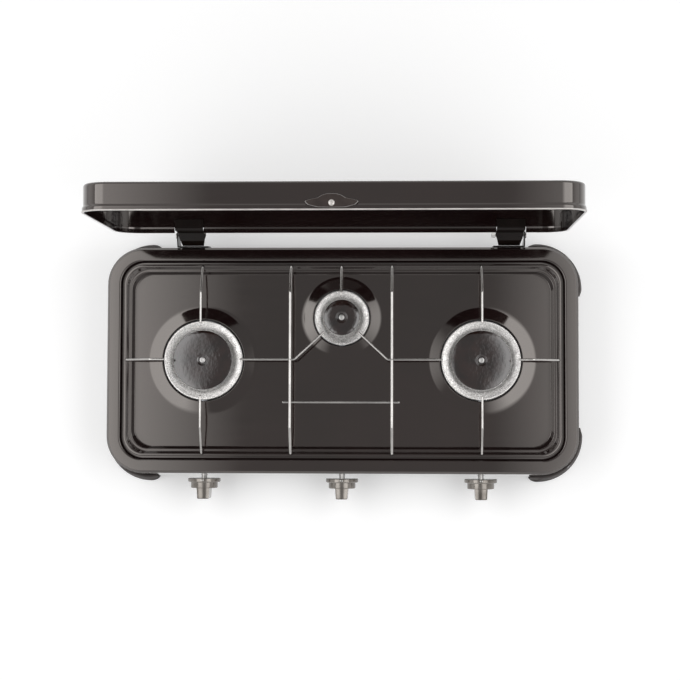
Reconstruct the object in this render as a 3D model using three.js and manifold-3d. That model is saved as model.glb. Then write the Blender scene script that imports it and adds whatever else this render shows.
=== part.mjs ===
// A three-burner gas stove: a pressed body on four corner feet, an enamelled hob pan with
// raised cones, wire pot supports, three burners with valves and knobs, and a hinged lid.
// Millimetres, +Z up, the knobs face -Y. Heights in the driving dimensions are measured
// from the top of the body's flat band, and the finished group stands on Z = 0.
import * as THREE from "three";
import { mergeVertices } from "three/addons/utils/BufferGeometryUtils.js";
import Module from "manifold-3d";

const wasm = await Module();
wasm.setup();

// Driving dimensions of the body
const bodyWidth = 660;
const bodyDepth = 317;
const bodyCorner = 52;
const wallHeight = 62;
const wallFlare = 5;
const sheet = 1.2;
const bandWidth = 16.6;
const bandRoll = 3;
const grooveWidth = 4.4;
const grooveDepth = 8;
const ledgeWidth = 5;
const hemWidth = 9;
const fit = 0.3;
const floorClear = 24;

// Driving dimensions of the hob pan
const rimDrop = 0.8;
const rimLand = 3.4;
const stepRun = 3.4;
const stepLand = 3.4;
const stepDepth = 6;
const panDepth = 14;
const panCorner = 25;

// Driving dimensions of the burners: a large one at each side and a small one behind the centre
const burnerSpacing = 195;
const smallBurnerBack = 60;
const largeBurner = { cone: 151, hole: 117, ring: 111, cap: 83, port: 76, cup: 62, rise: 3 };
const smallBurner = { cone: 114, hole: 82, ring: 77, cap: 50, port: 44, cup: 36, rise: 2.6 };
const coneLip = 2;
const ringThick = 2;
const ringBelowCone = 0.5;
const dishDrop = 2.6;
const cupWall = 2.5;
const cupFloor = 4;
const portHeight = 9;
const portSlotWidth = 1.6;
const portSlotDepth = 3.5;
const largePorts = 16;
const smallPorts = 12;
const capEdge = 2.2;
const capDome = 2;
const capDimple = 8;
const capDimpleDepth = 1.2;
const screwShank = 4;
const screwHead = 8;
const screwHeadHeight = 1.6;

// Driving dimensions of the pot supports
const longWire = 4;
const thinWire = 3.2;
const wireTop = 24;
const longWireSpacing = 141;
const wireSlopeRun = 37;
const wireFoot = 5;
const weldSink = 0.5;
const crossWireFront = 59;
const crossWireOverhang = 11;
const prongReach = 50;
const smallProngReach = 28;
const diagonalReach = 31.5;
const bentWireSetIn = 6;
const innerProngReach = 54;
const pegInset = 3.6;
const wireBend = 6;
const wireSides = 8;
const wireBendSteps = 3;

// Driving dimensions of the lid
const lidLipInset = 20.4;
const lidDepth = 35.6;
const lidSheet = 1.2;
const lidCorner = 32;
const lidTopRadius = 4;
const lidBead = 2.4;
const lidBeadOut = 1.4;
const lidBeadRise = 7;
const lidSeatDrop = 2;
const lidOpenAngle = 88.9;

// Driving dimensions of the hinges
const pinBehindBody = 16.5;
const pinDrop = 2;
const pinDiameter = 4;
const pinFit = 0.1;
const leftHingeInset = 120;
const rightHingeInset = 96;
const armWidth = 39;
const armTailWidth = 30;
const armSheet = 2;
const armLeaf = 14;
const armLift = 1.3;
const armTailSwing = 6;
const notchClear = 0.8;
const pinHeadHeight = 1.2;
const knuckleRadius = 6;
const bracketSheet = 1.6;
const cheekGap = 2.5;
const bracketHeight = 30;
const nutSize = 8;
const nutLength = 5;
const nutTail = 10;

// Driving dimensions of the lid handle
const handleWidth = 67;
const handleHeight = 17;
const handleSheet = 1.2;
const handleAboveLip = 2.8;
const handleRivetRise = 8.5;
const rivetHead = 8;
const rivetCrown = 4;
const rivetTail = 5.4;
const rivetHeadHeight = 1.6;
const rivetShank = 4;

// Driving dimensions of the knobs and valves
const knobHeight = 32;
const knobSkirt = 46;
const knobSkirtThick = 5.5;
const knobBody = 38;
const knobBodyLength = 8.5;
const knobGrip = 18;
const knobGripLength = 15;
const knobTravel = 2.5;
const knobWallGap = 0.4;
const knobBore = 12;
const knobChamfer = 1;
const stemDiameter = 8;
const stemHole = 11;
const plugDiameter = 13;
const plugLength = 16;
const valveWidth = 22;
const valveHeight = 20;
const valveLength = 26;
const valveBehindWall = 14;
const railDiameter = 10;
const railOverhang = 24;
const inletDrop = 36;
const inletBend = 10;
const inletEnd = 126;
const pipeSides = 10;
const pipeBendSteps = 4;
const jetDiameter = 9;
const jetLength = 10;
const jetBore = 1.5;
const tubeMouth = 24;
const tubeBore = 15;
const tubeWall = 1.5;
const mouthLength = 14;
const jetIntoMouth = 2;
const cupMargin = 1;
const bossRadius = 5;
const screwDepth = 12;
const neckDiameter = 19;
const nippleDiameter = 9;
const nippleBarb = 1;
const nippleLength = 30;
const nippleBarbs = 4;
const hexNutSize = 14;
const hexNutLength = 8;
const nippleBore = 6;
const hoseX = 98;
const hoseNotchWidth = 26;
const hoseNotchHeight = 38;

// Driving dimensions of the cross rails and feet
const crossRailWidth = 24;
const crossRailSheet = 1.5;
const crossRailTab = 12;
const footReach = 8;
const footRun = 13;
const footHeight = 40;
const footChamfer = 2;
const footTopEdge = 2.5;
const footScrew = 4;
const footScrewHead = 8;
const footScrewBelowTop = 9;
const footSeatSkin = 1.6;
const endSteps = 4;

const roundSides = 28;
const smallRoundSides = roundSides / 2;
const screwSides = 12;
const hexSides = 6;
const cornerSteps = 6;
const overrun = 2;

const material = (color, roughness, metalness) =>
  new THREE.MeshStandardMaterial({ color, roughness, metalness });
const enamel = material(0x2a211d, 0.25, 0.2);
const capEnamel = material(0x23140f, 0.2, 0.1);
const chrome = material(0xb9b7b2, 0.2, 1);
const castAluminium = material(0xa8a6a1, 0.45, 0.9);
const brass = material(0xb08d4a, 0.35, 0.9);
const zincSteel = material(0x8f9294, 0.4, 0.9);
const blackPlastic = material(0x2b2a29, 0.6, 0);
const knobPlastic = material(0x3a302b, 0.25, 0.6);

// A closed geometry as a solid, with its shared corners merged and its faces turned outwards.
function solid(geometry) {
  const bare = geometry.index ? geometry.toNonIndexed() : geometry.clone();
  for (const name of Object.keys(bare.attributes)) {
    if (name !== "position") bare.deleteAttribute(name);
  }
  const merged = mergeVertices(bare);
  const index = merged.index.array;
  const kept = [];
  for (let i = 0; i < index.length; i += 3) {
    const [a, b, c] = index.subarray(i, i + 3);
    if (a !== b && b !== c && c !== a) kept.push([a, b, c]);
  }
  const make = (triangles) =>
    new wasm.Manifold(
      new wasm.Mesh({
        numProp: 3,
        vertProperties: merged.attributes.position.array,
        triVerts: new Uint32Array(triangles.flat()),
      }),
    );
  const made = make(kept);
  return made.volume() > 0 ? made : make(kept.map(([a, b, c]) => [a, c, b]));
}

const join = (solids) => solids.reduce((whole, piece) => whole.add(piece));
const cut = (body, tools) => tools.reduce((left, tool) => left.subtract(tool), body);

// A named mesh of a solid, in one material.
function piece(name, made, look) {
  const { numProp, vertProperties, triVerts } = made.getMesh();
  const positions = new Float32Array((vertProperties.length / numProp) * 3);
  for (let i = 0; i < positions.length / 3; i += 1) {
    positions.set(vertProperties.subarray(i * numProp, i * numProp + 3), i * 3);
  }
  const geometry = new THREE.BufferGeometry();
  geometry.setAttribute("position", new THREE.BufferAttribute(positions, 3));
  geometry.setIndex(new THREE.BufferAttribute(triVerts, 1));
  const mesh = new THREE.Mesh(geometry.toNonIndexed(), look);
  mesh.geometry.computeVertexNormals();
  mesh.name = name;
  return mesh;
}

function placed(x, y, z, ...children) {
  const group = new THREE.Group();
  group.position.set(x, y, z);
  group.add(...children);
  return group;
}

// A box from its centre and sizes.
function block([x, y, z], [width, depth, height]) {
  return solid(new THREE.BoxGeometry(width, depth, height).translate(x, y, z));
}

const turnTo = {
  x: (geometry) => geometry.rotateZ(-Math.PI / 2),
  y: (geometry) => geometry,
  z: (geometry) => geometry.rotateX(Math.PI / 2),
};

// A round bar along an axis, from its start point in the positive direction.
function bar(axis, [x, y, z], radius, length, sides = roundSides, endRadius = radius) {
  const upright = new THREE.CylinderGeometry(endRadius, radius, length, sides);
  upright.translate(0, length / 2, 0);
  return solid(turnTo[axis](upright).translate(x, y, z));
}

// A turned piece about Z through a place, from [radius, height] points.
function turned(points, [x, y, z] = [0, 0, 0], sides = roundSides) {
  const profile = points.map(([radius, height]) => new THREE.Vector2(radius, height));
  profile.push(profile[0].clone());
  const upright = new THREE.LatheGeometry(profile, sides).rotateX(Math.PI / 2);
  return solid(upright.translate(x, y, z));
}

// A flat outline of [x, y] points extruded along Z from 0.
function plate(points, thickness) {
  const outline = new THREE.Shape(points.map(([x, y]) => new THREE.Vector2(x, y)));
  return new THREE.ExtrudeGeometry(outline, { depth: thickness, bevelEnabled: false });
}

// A side outline of [y, z] points given a width along X about zero.
function sidePlate(points, width) {
  const flat = plate(points, width);
  flat.rotateX(Math.PI / 2);
  flat.rotateZ(Math.PI / 2);
  return flat.translate(-width / 2, 0, 0);
}

// A rounded rectangle of points at one height, the same count for every loop.
function loop(halfWidth, halfDepth, radius, z) {
  const points = [];
  const corners = [[1, 1], [-1, 1], [-1, -1], [1, -1]];
  corners.forEach(([sx, sy], quarter) => {
    for (let step = 0; step <= cornerSteps; step += 1) {
      const angle = (Math.PI / 2) * (quarter + step / cornerSteps);
      const x = sx * (halfWidth - radius) + radius * Math.cos(angle);
      const y = sy * (halfDepth - radius) + radius * Math.sin(angle);
      points.push(new THREE.Vector3(x, y, z));
    }
  });
  return points;
}

// Loops joined in order into one skin, closed by a flat cap at each end or back to the start.
function loft(loops, ring = false) {
  const positions = [];
  const count = loops[0].length;
  const face = (...corners) => corners.forEach((corner) => positions.push(...corner));
  const spans = ring ? loops.length : loops.length - 1;
  for (let level = 0; level < spans; level += 1) {
    const low = loops[level];
    const high = loops[(level + 1) % loops.length];
    for (let i = 0; i < count; i += 1) {
      const j = (i + 1) % count;
      face(low[i], low[j], high[j]);
      face(low[i], high[j], high[i]);
    }
  }
  if (!ring) {
    const first = loops[0];
    const last = loops[loops.length - 1];
    const flat = first.map(({ x, y }) => new THREE.Vector2(x, y));
    for (const [a, b, c] of THREE.ShapeUtils.triangulateShape(flat, [])) {
      face(first[a], first[c], first[b]);
      face(last[a], last[b], last[c]);
    }
  }
  const skin = new THREE.BufferGeometry();
  skin.setAttribute("position", new THREE.Float32BufferAttribute(positions, 3));
  return solid(skin);
}

// A path through points whose steps fall on the points themselves.
class BentPath extends THREE.Curve {
  constructor(points) {
    super();
    this.points = points;
  }

  getPointAt(share) {
    const place = share * (this.points.length - 1);
    const before = Math.min(Math.floor(place), this.points.length - 2);
    return this.points[before].clone().lerp(this.points[before + 1], place - before);
  }

  getPoint(share) {
    return this.getPointAt(share);
  }

  getTangentAt(share) {
    const at = Math.round(share * (this.points.length - 1));
    const here = this.points[at];
    const from = this.points[Math.max(at - 1, 0)];
    const to = this.points[Math.min(at + 1, this.points.length - 1)];
    const back = here.clone().sub(from).normalize();
    return to.clone().sub(here).normalize().add(back).normalize();
  }
}

// A wire or tube through [x, y, z] corners, each bend rounded to the given radius.
function wire(corners, radius, bendRadius, sides = wireSides, bendSteps = wireBendSteps) {
  const nodes = corners.map((corner) => new THREE.Vector3(...corner));
  const points = [nodes[0]];
  for (let i = 1; i < nodes.length - 1; i += 1) {
    const back = nodes[i - 1].clone().sub(nodes[i]).normalize();
    const ahead = nodes[i + 1].clone().sub(nodes[i]).normalize();
    const half = back.angleTo(ahead) / 2;
    const run = bendRadius / Math.tan(half);
    const start = nodes[i].clone().addScaledVector(back, run);
    const end = nodes[i].clone().addScaledVector(ahead, run);
    points.push(...new THREE.QuadraticBezierCurve3(start, nodes[i], end).getPoints(bendSteps));
  }
  points.push(nodes[nodes.length - 1]);
  const section = new THREE.Shape(
    new THREE.Path().absarc(0, 0, radius, 0, 2 * Math.PI).getPoints(sides / 2).slice(0, -1),
  );
  const path = new BentPath(points);
  return solid(
    new THREE.ExtrudeGeometry(section, { steps: points.length - 1, extrudePath: path }),
  );
}

// Places that several pieces share, worked out from the driving dimensions
const halfWidth = bodyWidth / 2;
const halfDepth = bodyDepth / 2;
const leftHinge = leftHingeInset - halfWidth;
const rightHinge = halfWidth - rightHingeInset;
const grooveOuter = bandWidth + bandRoll;
const grooveInner = grooveOuter + grooveWidth;
const ledgeEdge = grooveInner + ledgeWidth;
const floorStart = grooveInner + rimLand + stepRun + stepLand + stepRun;
const floorTop = -panDepth;
const groundDrop = wallHeight + floorClear;

// How far the flared side wall stands outside the band's edge at a height.
const flareAt = (z) => (wallFlare * (-z - bandRoll)) / (wallHeight - bandRoll);
const wallAt = (z) => halfDepth + flareAt(z);

// A loop of the body at an inset from the band's outer edge.
function bodyLoop([inset, z, radius = bodyCorner - inset]) {
  return loop(halfWidth - inset, halfDepth - inset, radius, z);
}

const cornerCentre = [halfWidth - bodyCorner, halfDepth - bodyCorner];
const cornerSigns = {
  rear_right: [1, 1],
  rear_left: [-1, 1],
  front_left: [-1, -1],
  front_right: [1, -1],
};
const footTop = footHeight - groundDrop;
const footScrewDrop = footScrewBelowTop - footTop;
const footSkin = (z) => bodyCorner + flareAt(z) + fit;
const footSeat = footSkin(-footScrewDrop) + footSeatSkin;

// A bar that points outwards along a corner's diagonal, between two distances from its centre.
function cornerBar(corner, radius, near, far, z) {
  const [sx, sy] = cornerSigns[corner];
  const upright = new THREE.CylinderGeometry(radius, radius, far - near, screwSides);
  upright.translate(0, (near + far) / 2, 0);
  upright.rotateZ(Math.atan2(sy, sx) - Math.PI / 2);
  return solid(upright.translate(sx * cornerCentre[0], sy * cornerCentre[1], z));
}

function bodyCasing() {
  const rollShare = 0.3;
  const shell = loft(
    [
      [-wallFlare, -wallHeight],
      [0, -bandRoll],
      [bandRoll * rollShare, -bandRoll * rollShare],
      [bandRoll, 0],
      [bandWidth, 0],
      [grooveOuter - bandRoll * rollShare, -bandRoll * rollShare],
      [grooveOuter, -bandRoll],
      [grooveOuter, -grooveDepth],
      [ledgeEdge, -grooveDepth],
      [ledgeEdge, -grooveDepth - sheet],
      [grooveOuter - sheet, -grooveDepth - sheet],
      [grooveOuter - sheet, -bandRoll - sheet / 2],
      [bandWidth - sheet / 2, -sheet],
      [bandRoll + sheet / 2, -sheet],
      [sheet, -bandRoll - sheet / 2],
      [sheet - wallFlare, sheet - wallHeight],
      [hemWidth - wallFlare, sheet - wallHeight],
      [hemWidth - wallFlare, -wallHeight],
    ].map(bodyLoop),
    true,
  );
  const wall = halfDepth + wallFlare + overrun;
  const inside = halfDepth - bodyCorner / 2;
  const stemHoles = burnerPlaces.map(({ x }) =>
    bar("y", [x, -wall, -knobHeight], stemHole / 2, wall - inside),
  );
  const hoseNotch = block(
    [hoseX, (wall + inside) / 2, -wallHeight],
    [hoseNotchWidth, wall - inside, 2 * hoseNotchHeight],
  );
  const holeRadius = footScrew / 2 + fit;
  const holeEnd = bodyCorner + wallFlare + overrun;
  const screwHoles = Object.keys(cornerSigns).map((corner) =>
    cornerBar(corner, holeRadius, bodyCorner / 2, holeEnd, -footScrewDrop),
  );
  return piece("body_casing", cut(shell, [...stemHoles, hoseNotch, ...screwHoles]), enamel);
}

function coneRing({ cone, hole, rise }, place) {
  const outer = cone / 2;
  const inner = hole / 2;
  const top = floorTop + rise;
  return turned([
    [outer + sheet, floorTop - sheet],
    [outer + sheet, floorTop],
    [outer, floorTop],
    [inner + coneLip, top],
    [inner, top - coneLip / 2],
    [inner, top - coneLip],
    [inner + coneLip, top - sheet],
    [outer - sheet, floorTop - sheet],
  ], place);
}

function hobPan() {
  const footing = -grooveDepth + fit;
  const landEnd = grooveInner + rimLand;
  const stepStart = landEnd + stepRun;
  const stepEnd = stepStart + stepLand;
  const outerCorner = bodyCorner - grooveInner;
  const cornerAt = (inset) =>
    outerCorner + ((panCorner - outerCorner) * (inset - grooveInner)) / (floorStart - grooveInner);
  const lean = sheet / 2;
  const pan = loft(
    [
      [floorStart, floorTop],
      [stepEnd, -stepDepth],
      [stepStart, -stepDepth],
      [landEnd, -rimDrop],
      [grooveInner + lean, -rimDrop],
      [grooveInner, -rimDrop - sheet],
      [grooveInner, footing],
      [grooveInner + sheet, footing],
      [grooveInner + sheet, -rimDrop - sheet],
      [landEnd - lean, -rimDrop - sheet],
      [stepStart - lean, -stepDepth - sheet],
      [stepEnd - lean, -stepDepth - sheet],
      [floorStart - lean, floorTop - sheet],
    ].map(([inset, z]) => bodyLoop([inset, z, cornerAt(inset)])),
  );
  const burnerCuts = burnerPlaces.map(({ x, y, burner }) =>
    bar("z", [x, y, floorTop - sheet - overrun], burner.cone / 2, sheet + 2 * overrun),
  );
  const pegHoles = pegPlaces.map(([x, y, radius]) =>
    bar("z", [x, y, -grooveDepth + fit], radius + fit, grooveDepth, wireSides),
  );
  const cones = burnerPlaces.map(({ x, y, burner }) => coneRing(burner, [x, y, 0]));
  return piece("hob_pan", join([cut(pan, [...burnerCuts, ...pegHoles]), ...cones]), enamel);
}

// The corner feet: each wraps the flared wall's corner, with a shelf below the wall, slopes
// out towards the ground, and has rounded ends.
function footOutline(inner, outer, z) {
  const end = (outer - inner) / 2;
  const points = [[inner, -footRun]];
  for (let step = 0; step < endSteps; step += 1) {
    const angle = (Math.PI / 2) * (1 - step / endSteps);
    points.push([inner + end + end * Math.cos(angle), -footRun * Math.sin(angle)]);
  }
  for (let step = 0; step < cornerSteps; step += 1) {
    const angle = ((Math.PI / 4) * step) / cornerSteps;
    points.push([outer * Math.cos(angle), outer * Math.sin(angle)]);
  }
  const middle = [outer * Math.SQRT1_2, outer * Math.SQRT1_2];
  const otherSide = points.map(([x, y]) => [y, x]).reverse();
  const outside = [...points, middle, ...otherSide];
  const inside = [];
  for (let step = cornerSteps; step >= 0; step -= 1) {
    const angle = ((Math.PI / 2) * step) / cornerSteps;
    inside.push([inner * Math.cos(angle), inner * Math.sin(angle)]);
  }
  return [...outside, ...inside].map(([x, y]) => new THREE.Vector3(x, y, z));
}

function cornerFoot(corner) {
  const wallBottom = bodyCorner + wallFlare;
  const shelf = -wallHeight - fit;
  const widest = footChamfer - groundDrop;
  const outerTop = footSkin(footTop) + footTopEdge;
  const slope = (wallBottom + footReach - outerTop) / (footTop - widest);
  const outerAt = (z) => outerTop + (footTop - z) * slope;
  const blank = loft([
    footOutline(wallBottom - hemWidth, outerAt(widest) - footChamfer, -groundDrop),
    footOutline(wallBottom - hemWidth, outerAt(widest), widest),
    footOutline(wallBottom - hemWidth, outerAt(shelf), shelf),
    footOutline(footSkin(-wallHeight), outerAt(shelf), shelf),
    footOutline(footSkin(footTop), outerTop, footTop),
  ]);
  const [sx, sy] = cornerSigns[corner];
  const turn = Math.atan2(sy, sx) - Math.PI / 4;
  const diagonalHole = (radius, near) => {
    const length = wallBottom + footReach + overrun - near;
    const upright = new THREE.CylinderGeometry(radius, radius, length, screwSides);
    upright.translate(0, near + length / 2, 0).rotateZ(-Math.PI / 4);
    return solid(upright.translate(0, 0, -footScrewDrop));
  };
  const holes = [
    diagonalHole(footScrew / 2 + fit, bodyCorner / 2),
    diagonalHole(footScrewHead / 2 + 2 * fit, footSeat),
  ];
  const foot = piece(`corner_foot_${corner}`, cut(blank, holes), blackPlastic);
  foot.position.set(sx * cornerCentre[0], sy * cornerCentre[1], 0);
  foot.rotation.z = turn;
  return foot;
}

function footScrewPiece(corner) {
  const seat = footSeat + fit;
  const start = bodyCorner - footScrewHead;
  const end = seat + screwHeadHeight;
  const shank = cornerBar(corner, footScrew / 2, start, seat + fit, -footScrewDrop);
  const head = cornerBar(corner, footScrewHead / 2, seat, end, -footScrewDrop);
  return piece(`foot_screw_${corner}`, join([shank, head]), zincSteel);
}

// The pot supports: pegs on the rim, a slope up, then a level stretch at the top.
const pegLine = (half) => half - grooveInner - pegInset;
const pegTip = -grooveDepth + fit;

// A prong from a peg at the rim to its tip, along one axis, at a place across it.
function prong(name, axis, across, pegAt, tipAt) {
  const way = Math.sign(tipAt - pegAt);
  const level = wireTop - thinWire / 2;
  const at = (along, z) => (axis === "x" ? [along, across, z] : [across, along, z]);
  const made = wire(
    [
      at(pegAt, pegTip),
      at(pegAt, wireFoot),
      at(pegAt + way * wireSlopeRun, level),
      at(tipAt, level),
    ],
    thinWire / 2,
    thinWire,
  );
  return piece(name, made, chrome);
}

const pegX = pegLine(halfWidth);
const pegY = pegLine(halfDepth);
const longWireX = longWireSpacing / 2;
const prongPlans = [
  ["prong_left_outer", "x", 0, -pegX, -burnerSpacing - prongReach],
  ["prong_right_outer", "x", 0, pegX, burnerSpacing + prongReach],
  ["prong_left_front", "y", -burnerSpacing, -pegY, -prongReach],
  ["prong_left_rear", "y", -burnerSpacing, pegY, prongReach],
  ["prong_right_front", "y", burnerSpacing, -pegY, -prongReach],
  ["prong_right_rear", "y", burnerSpacing, pegY, prongReach],
  ["prong_centre_rear", "y", 0, pegY, smallBurnerBack + smallProngReach],
];
const pegPlaces = [
  ...prongPlans.map(([, axis, across, pegAt]) =>
    axis === "x" ? [pegAt, across, thinWire / 2] : [across, pegAt, thinWire / 2],
  ),
  ...[-1, 1].flatMap((sx) => [-1, 1].map((sy) => [sx * longWireX, sy * pegY, longWire / 2])),
];

function centreTrivet() {
  const longLevel = wireTop - longWire / 2;
  const thinLevel = wireTop - thinWire / 2;
  const wires = [-1, 1].flatMap((side) => {
    const x = side * longWireX;
    const rear = [[pegY, pegTip], [pegY, wireFoot], [pegY - wireSlopeRun, longLevel]];
    const front = rear.map(([y, z]) => [-y, z]).reverse();
    const path = [...rear, ...front].map(([y, z]) => [x, y, z]);
    const turnX = side * (longWireX - bentWireSetIn);
    const toSmall = new THREE.Vector2(-turnX, smallBurnerBack);
    const share = 1 - diagonalReach / toSmall.length();
    const bent = [
      [side * (burnerSpacing - innerProngReach), 0, thinLevel],
      [turnX, 0, thinLevel],
      [turnX + toSmall.x * share, toSmall.y * share, thinLevel],
    ];
    return [wire(path, longWire / 2, wireBend), wire(bent, thinWire / 2, wireBend)];
  });
  const crossLevel = wireTop - longWire - thinWire / 2 + weldSink;
  const crossHalf = longWireX + crossWireOverhang;
  const crossStart = [-crossHalf, -crossWireFront, crossLevel];
  const cross = bar("x", crossStart, thinWire / 2, 2 * crossHalf, wireSides);
  return piece("centre_trivet", join([...wires, cross]), chrome);
}

// The burners: a cast cup with a dished ring and slotted crown, and a domed cap screwed on.
const burnerPlaces = [
  { side: "left", x: -burnerSpacing, y: 0, burner: largeBurner, ports: largePorts },
  { side: "centre", x: 0, y: smallBurnerBack, burner: smallBurner, ports: smallPorts },
  { side: "right", x: burnerSpacing, y: 0, burner: largeBurner, ports: largePorts },
];
const tubeOuter = tubeBore / 2 + tubeWall;
const cupBottom = -knobHeight - tubeOuter - cupMargin - cupFloor;
const ringTop = ({ rise }) => floorTop + rise - ringBelowCone;
const capSeat = (burner) => ringTop(burner) - dishDrop + portHeight;

function burnerCup({ side, burner, ports }) {
  const ring = burner.ring / 2;
  const port = burner.port / 2;
  const cup = burner.cup / 2;
  const high = ringTop(burner);
  const low = high - dishDrop;
  const seat = capSeat(burner);
  const floor = cupBottom + cupFloor;
  const screwHole = screwShank / 2 + fit;
  const body = turned([
    [0, cupBottom],
    [cup, cupBottom],
    [cup, low - ringThick],
    [ring, high - ringThick],
    [ring, high],
    [ring - ringThick / 2, high],
    [port, low],
    [port, seat],
    [port - 2 * cupWall, seat],
    [cup - cupWall, low - ringThick],
    [cup - cupWall, floor],
    [bossRadius, floor],
    [bossRadius, seat],
    [screwHole, seat],
    [screwHole, seat - screwDepth],
    [0, seat - screwDepth],
  ]);
  const slots = [];
  for (let i = 0; i < ports; i += 1) {
    const slot = new THREE.BoxGeometry(4 * cupWall, portSlotWidth, 2 * portSlotDepth);
    slot.translate(port - cupWall, 0, seat).rotateZ((2 * Math.PI * i) / ports);
    slots.push(solid(slot));
  }
  const tubeHole = bar("y", [0, -cup - overrun, -knobHeight], tubeOuter + fit, cup);
  return piece(`burner_cup_${side}`, cut(body, [...slots, tubeHole]), castAluminium);
}

function burnerCap({ side, burner }) {
  const edge = burner.cap / 2;
  const under = capSeat(burner) + fit;
  const hole = screwShank / 2 + fit;
  const shoulder = under + capEdge;
  const domeAt = (radius) => shoulder + capDome * Math.cos((Math.PI / 2) * (radius / edge));
  const domeShares = [1, 0.95, 0.84, 0.65, 0.4];
  return piece(
    `burner_cap_${side}`,
    turned([
      [hole, under],
      [edge - capEdge / 2, under],
      [edge, under + capEdge / 2],
      ...domeShares.map((share) => [edge * share, domeAt(edge * share)]),
      [capDimple, domeAt(capDimple)],
      [capDimple - capDimpleDepth, domeAt(capDimple) - capDimpleDepth],
      [hole, domeAt(capDimple) - capDimpleDepth],
    ]),
    capEnamel,
  );
}

function capScrew({ side, burner }) {
  const seat = capSeat(burner) + 2 * fit + capEdge + dimpleFloor(burner);
  const end = capSeat(burner) - screwDepth + fit;
  const shank = bar("z", [0, 0, end], screwShank / 2, seat + weldSink - end, screwSides);
  const head = bar("z", [0, 0, seat], screwHead / 2, screwHeadHeight, screwSides);
  return piece(`cap_screw_${side}`, join([shank, head]), zincSteel);
}

// The height of the dimple's floor above the cap's shoulder.
function dimpleFloor({ cap }) {
  return capDome * Math.cos((Math.PI * capDimple) / cap) - capDimpleDepth;
}

// The gas side: valves behind the front wall, the rail over them, and the mixing tubes.
const wallInner = -(wallAt(neckDiameter / 2 - knobHeight) - sheet);
const wallOuter = -wallAt(-knobHeight - knobSkirt / 2);
const valveFront = wallInner + valveBehindWall;
const valveBack = valveFront + valveLength;
const railY = (valveFront + valveBack) / 2;
const railZ = -knobHeight + valveHeight / 2 + fit + railDiameter / 2;
const jetTip = valveBack + jetLength;
const plugFront = valveFront + fit;
const skirtBack = wallOuter - knobWallGap - knobTravel;
const skirtFront = skirtBack - knobSkirtThick;
const bodyFront = skirtFront - knobBodyLength;
const gripFront = bodyFront - knobGripLength;

// A turned piece about an axis along Y at the origin, from [radius, y] points.
function turnedAlong(points) {
  const profile = points.map(([radius, y]) => new THREE.Vector2(radius, y));
  profile.push(profile[0].clone());
  return solid(new THREE.LatheGeometry(profile, smallRoundSides));
}

function valveBody({ side }) {
  const barrel = block([0, railY, 0], [valveWidth, valveLength, valveHeight]);
  const neckStart = wallInner + fit;
  const neck = bar("y", [0, neckStart, 0], neckDiameter / 2, valveBehindWall, smallRoundSides);
  const jetStart = [0, valveBack - weldSink, 0];
  const jet = bar("y", jetStart, jetDiameter / 2, jetLength + weldSink, hexSides);
  const boreStart = neckStart - overrun;
  const boreLength = plugFront + plugLength + fit - boreStart;
  const bore = bar("y", [0, boreStart, 0], plugDiameter / 2 + fit, boreLength, smallRoundSides);
  const jetHoleLength = valveLength + jetLength + overrun;
  const jetHole = bar("y", [0, valveFront, 0], jetBore / 2, jetHoleLength, wireSides);
  return piece(`valve_body_${side}`, cut(join([barrel, neck, jet]), [bore, jetHole]), brass);
}

function valvePlug({ side }) {
  const radius = plugDiameter / 2;
  const socket = stemDiameter / 2 + fit;
  const socketEnd = plugFront + plugLength / 2;
  const plug = turnedAlong([
    [0, plugFront + plugLength],
    [0, socketEnd],
    [socket, socketEnd],
    [socket, plugFront],
    [radius, plugFront],
    [radius - fit, plugFront + plugLength],
  ]);
  return piece(`valve_plug_${side}`, plug, brass);
}

function valveStem({ side }) {
  const inner = plugFront + plugLength / 2 - knobTravel - fit;
  const outer = bodyFront + knobBore / 4;
  const stem = bar("y", [0, outer, 0], stemDiameter / 2, inner - outer, smallRoundSides);
  return piece(`valve_stem_${side}`, stem, zincSteel);
}

function knob({ side }) {
  const body = knobBody / 2;
  const turnedBody = turnedAlong([
    [0, skirtBack],
    [knobSkirt / 2, skirtBack],
    [knobSkirt / 2, skirtFront + knobChamfer],
    [knobSkirt / 2 - knobChamfer, skirtFront],
    [body, skirtFront],
    [body, bodyFront + knobChamfer],
    [body - knobChamfer, bodyFront],
    [0, bodyFront],
  ]);
  const gripStart = bodyFront + weldSink;
  const gripLength = gripStart - gripFront;
  const gripBar = block([0, gripFront + gripLength / 2, 0], [knobGrip, gripLength, knobBody]);
  const gripEnd = [0, gripFront, 0];
  const [narrow, wide] = [body - 2 * knobChamfer, body - knobChamfer];
  const gripRound = bar("y", gripEnd, narrow, gripLength, smallRoundSides, wide);
  const grip = gripBar.intersect(gripRound);
  const boreEnd = bodyFront + knobBore / 4 - fit;
  const boreLength = skirtBack - boreEnd + overrun;
  const bore = bar("y", [0, boreEnd, 0], stemDiameter / 2 + fit, boreLength, smallRoundSides);
  return piece(`knob_${side}`, cut(join([turnedBody, grip]), [bore]), knobPlastic);
}

function mixingTube({ side, y, burner }) {
  const mouth = jetTip - jetIntoMouth;
  const end = y - burner.cup / 2 + cupWall;
  const bore = tubeBore / 2;
  const tube = turnedAlong([
    [tubeMouth / 2, mouth],
    [tubeOuter, mouth + mouthLength],
    [tubeOuter, end],
    [bore, end],
    [bore, mouth + mouthLength],
    [tubeMouth / 2 - tubeWall, mouth],
  ]);
  return piece(`mixing_tube_${side}`, tube, zincSteel);
}

function gasRail() {
  const half = burnerSpacing + railOverhang;
  const rail = bar("x", [-half, railY, railZ], railDiameter / 2, 2 * half, smallRoundSides);
  return piece("gas_rail", rail, zincSteel);
}

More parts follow.
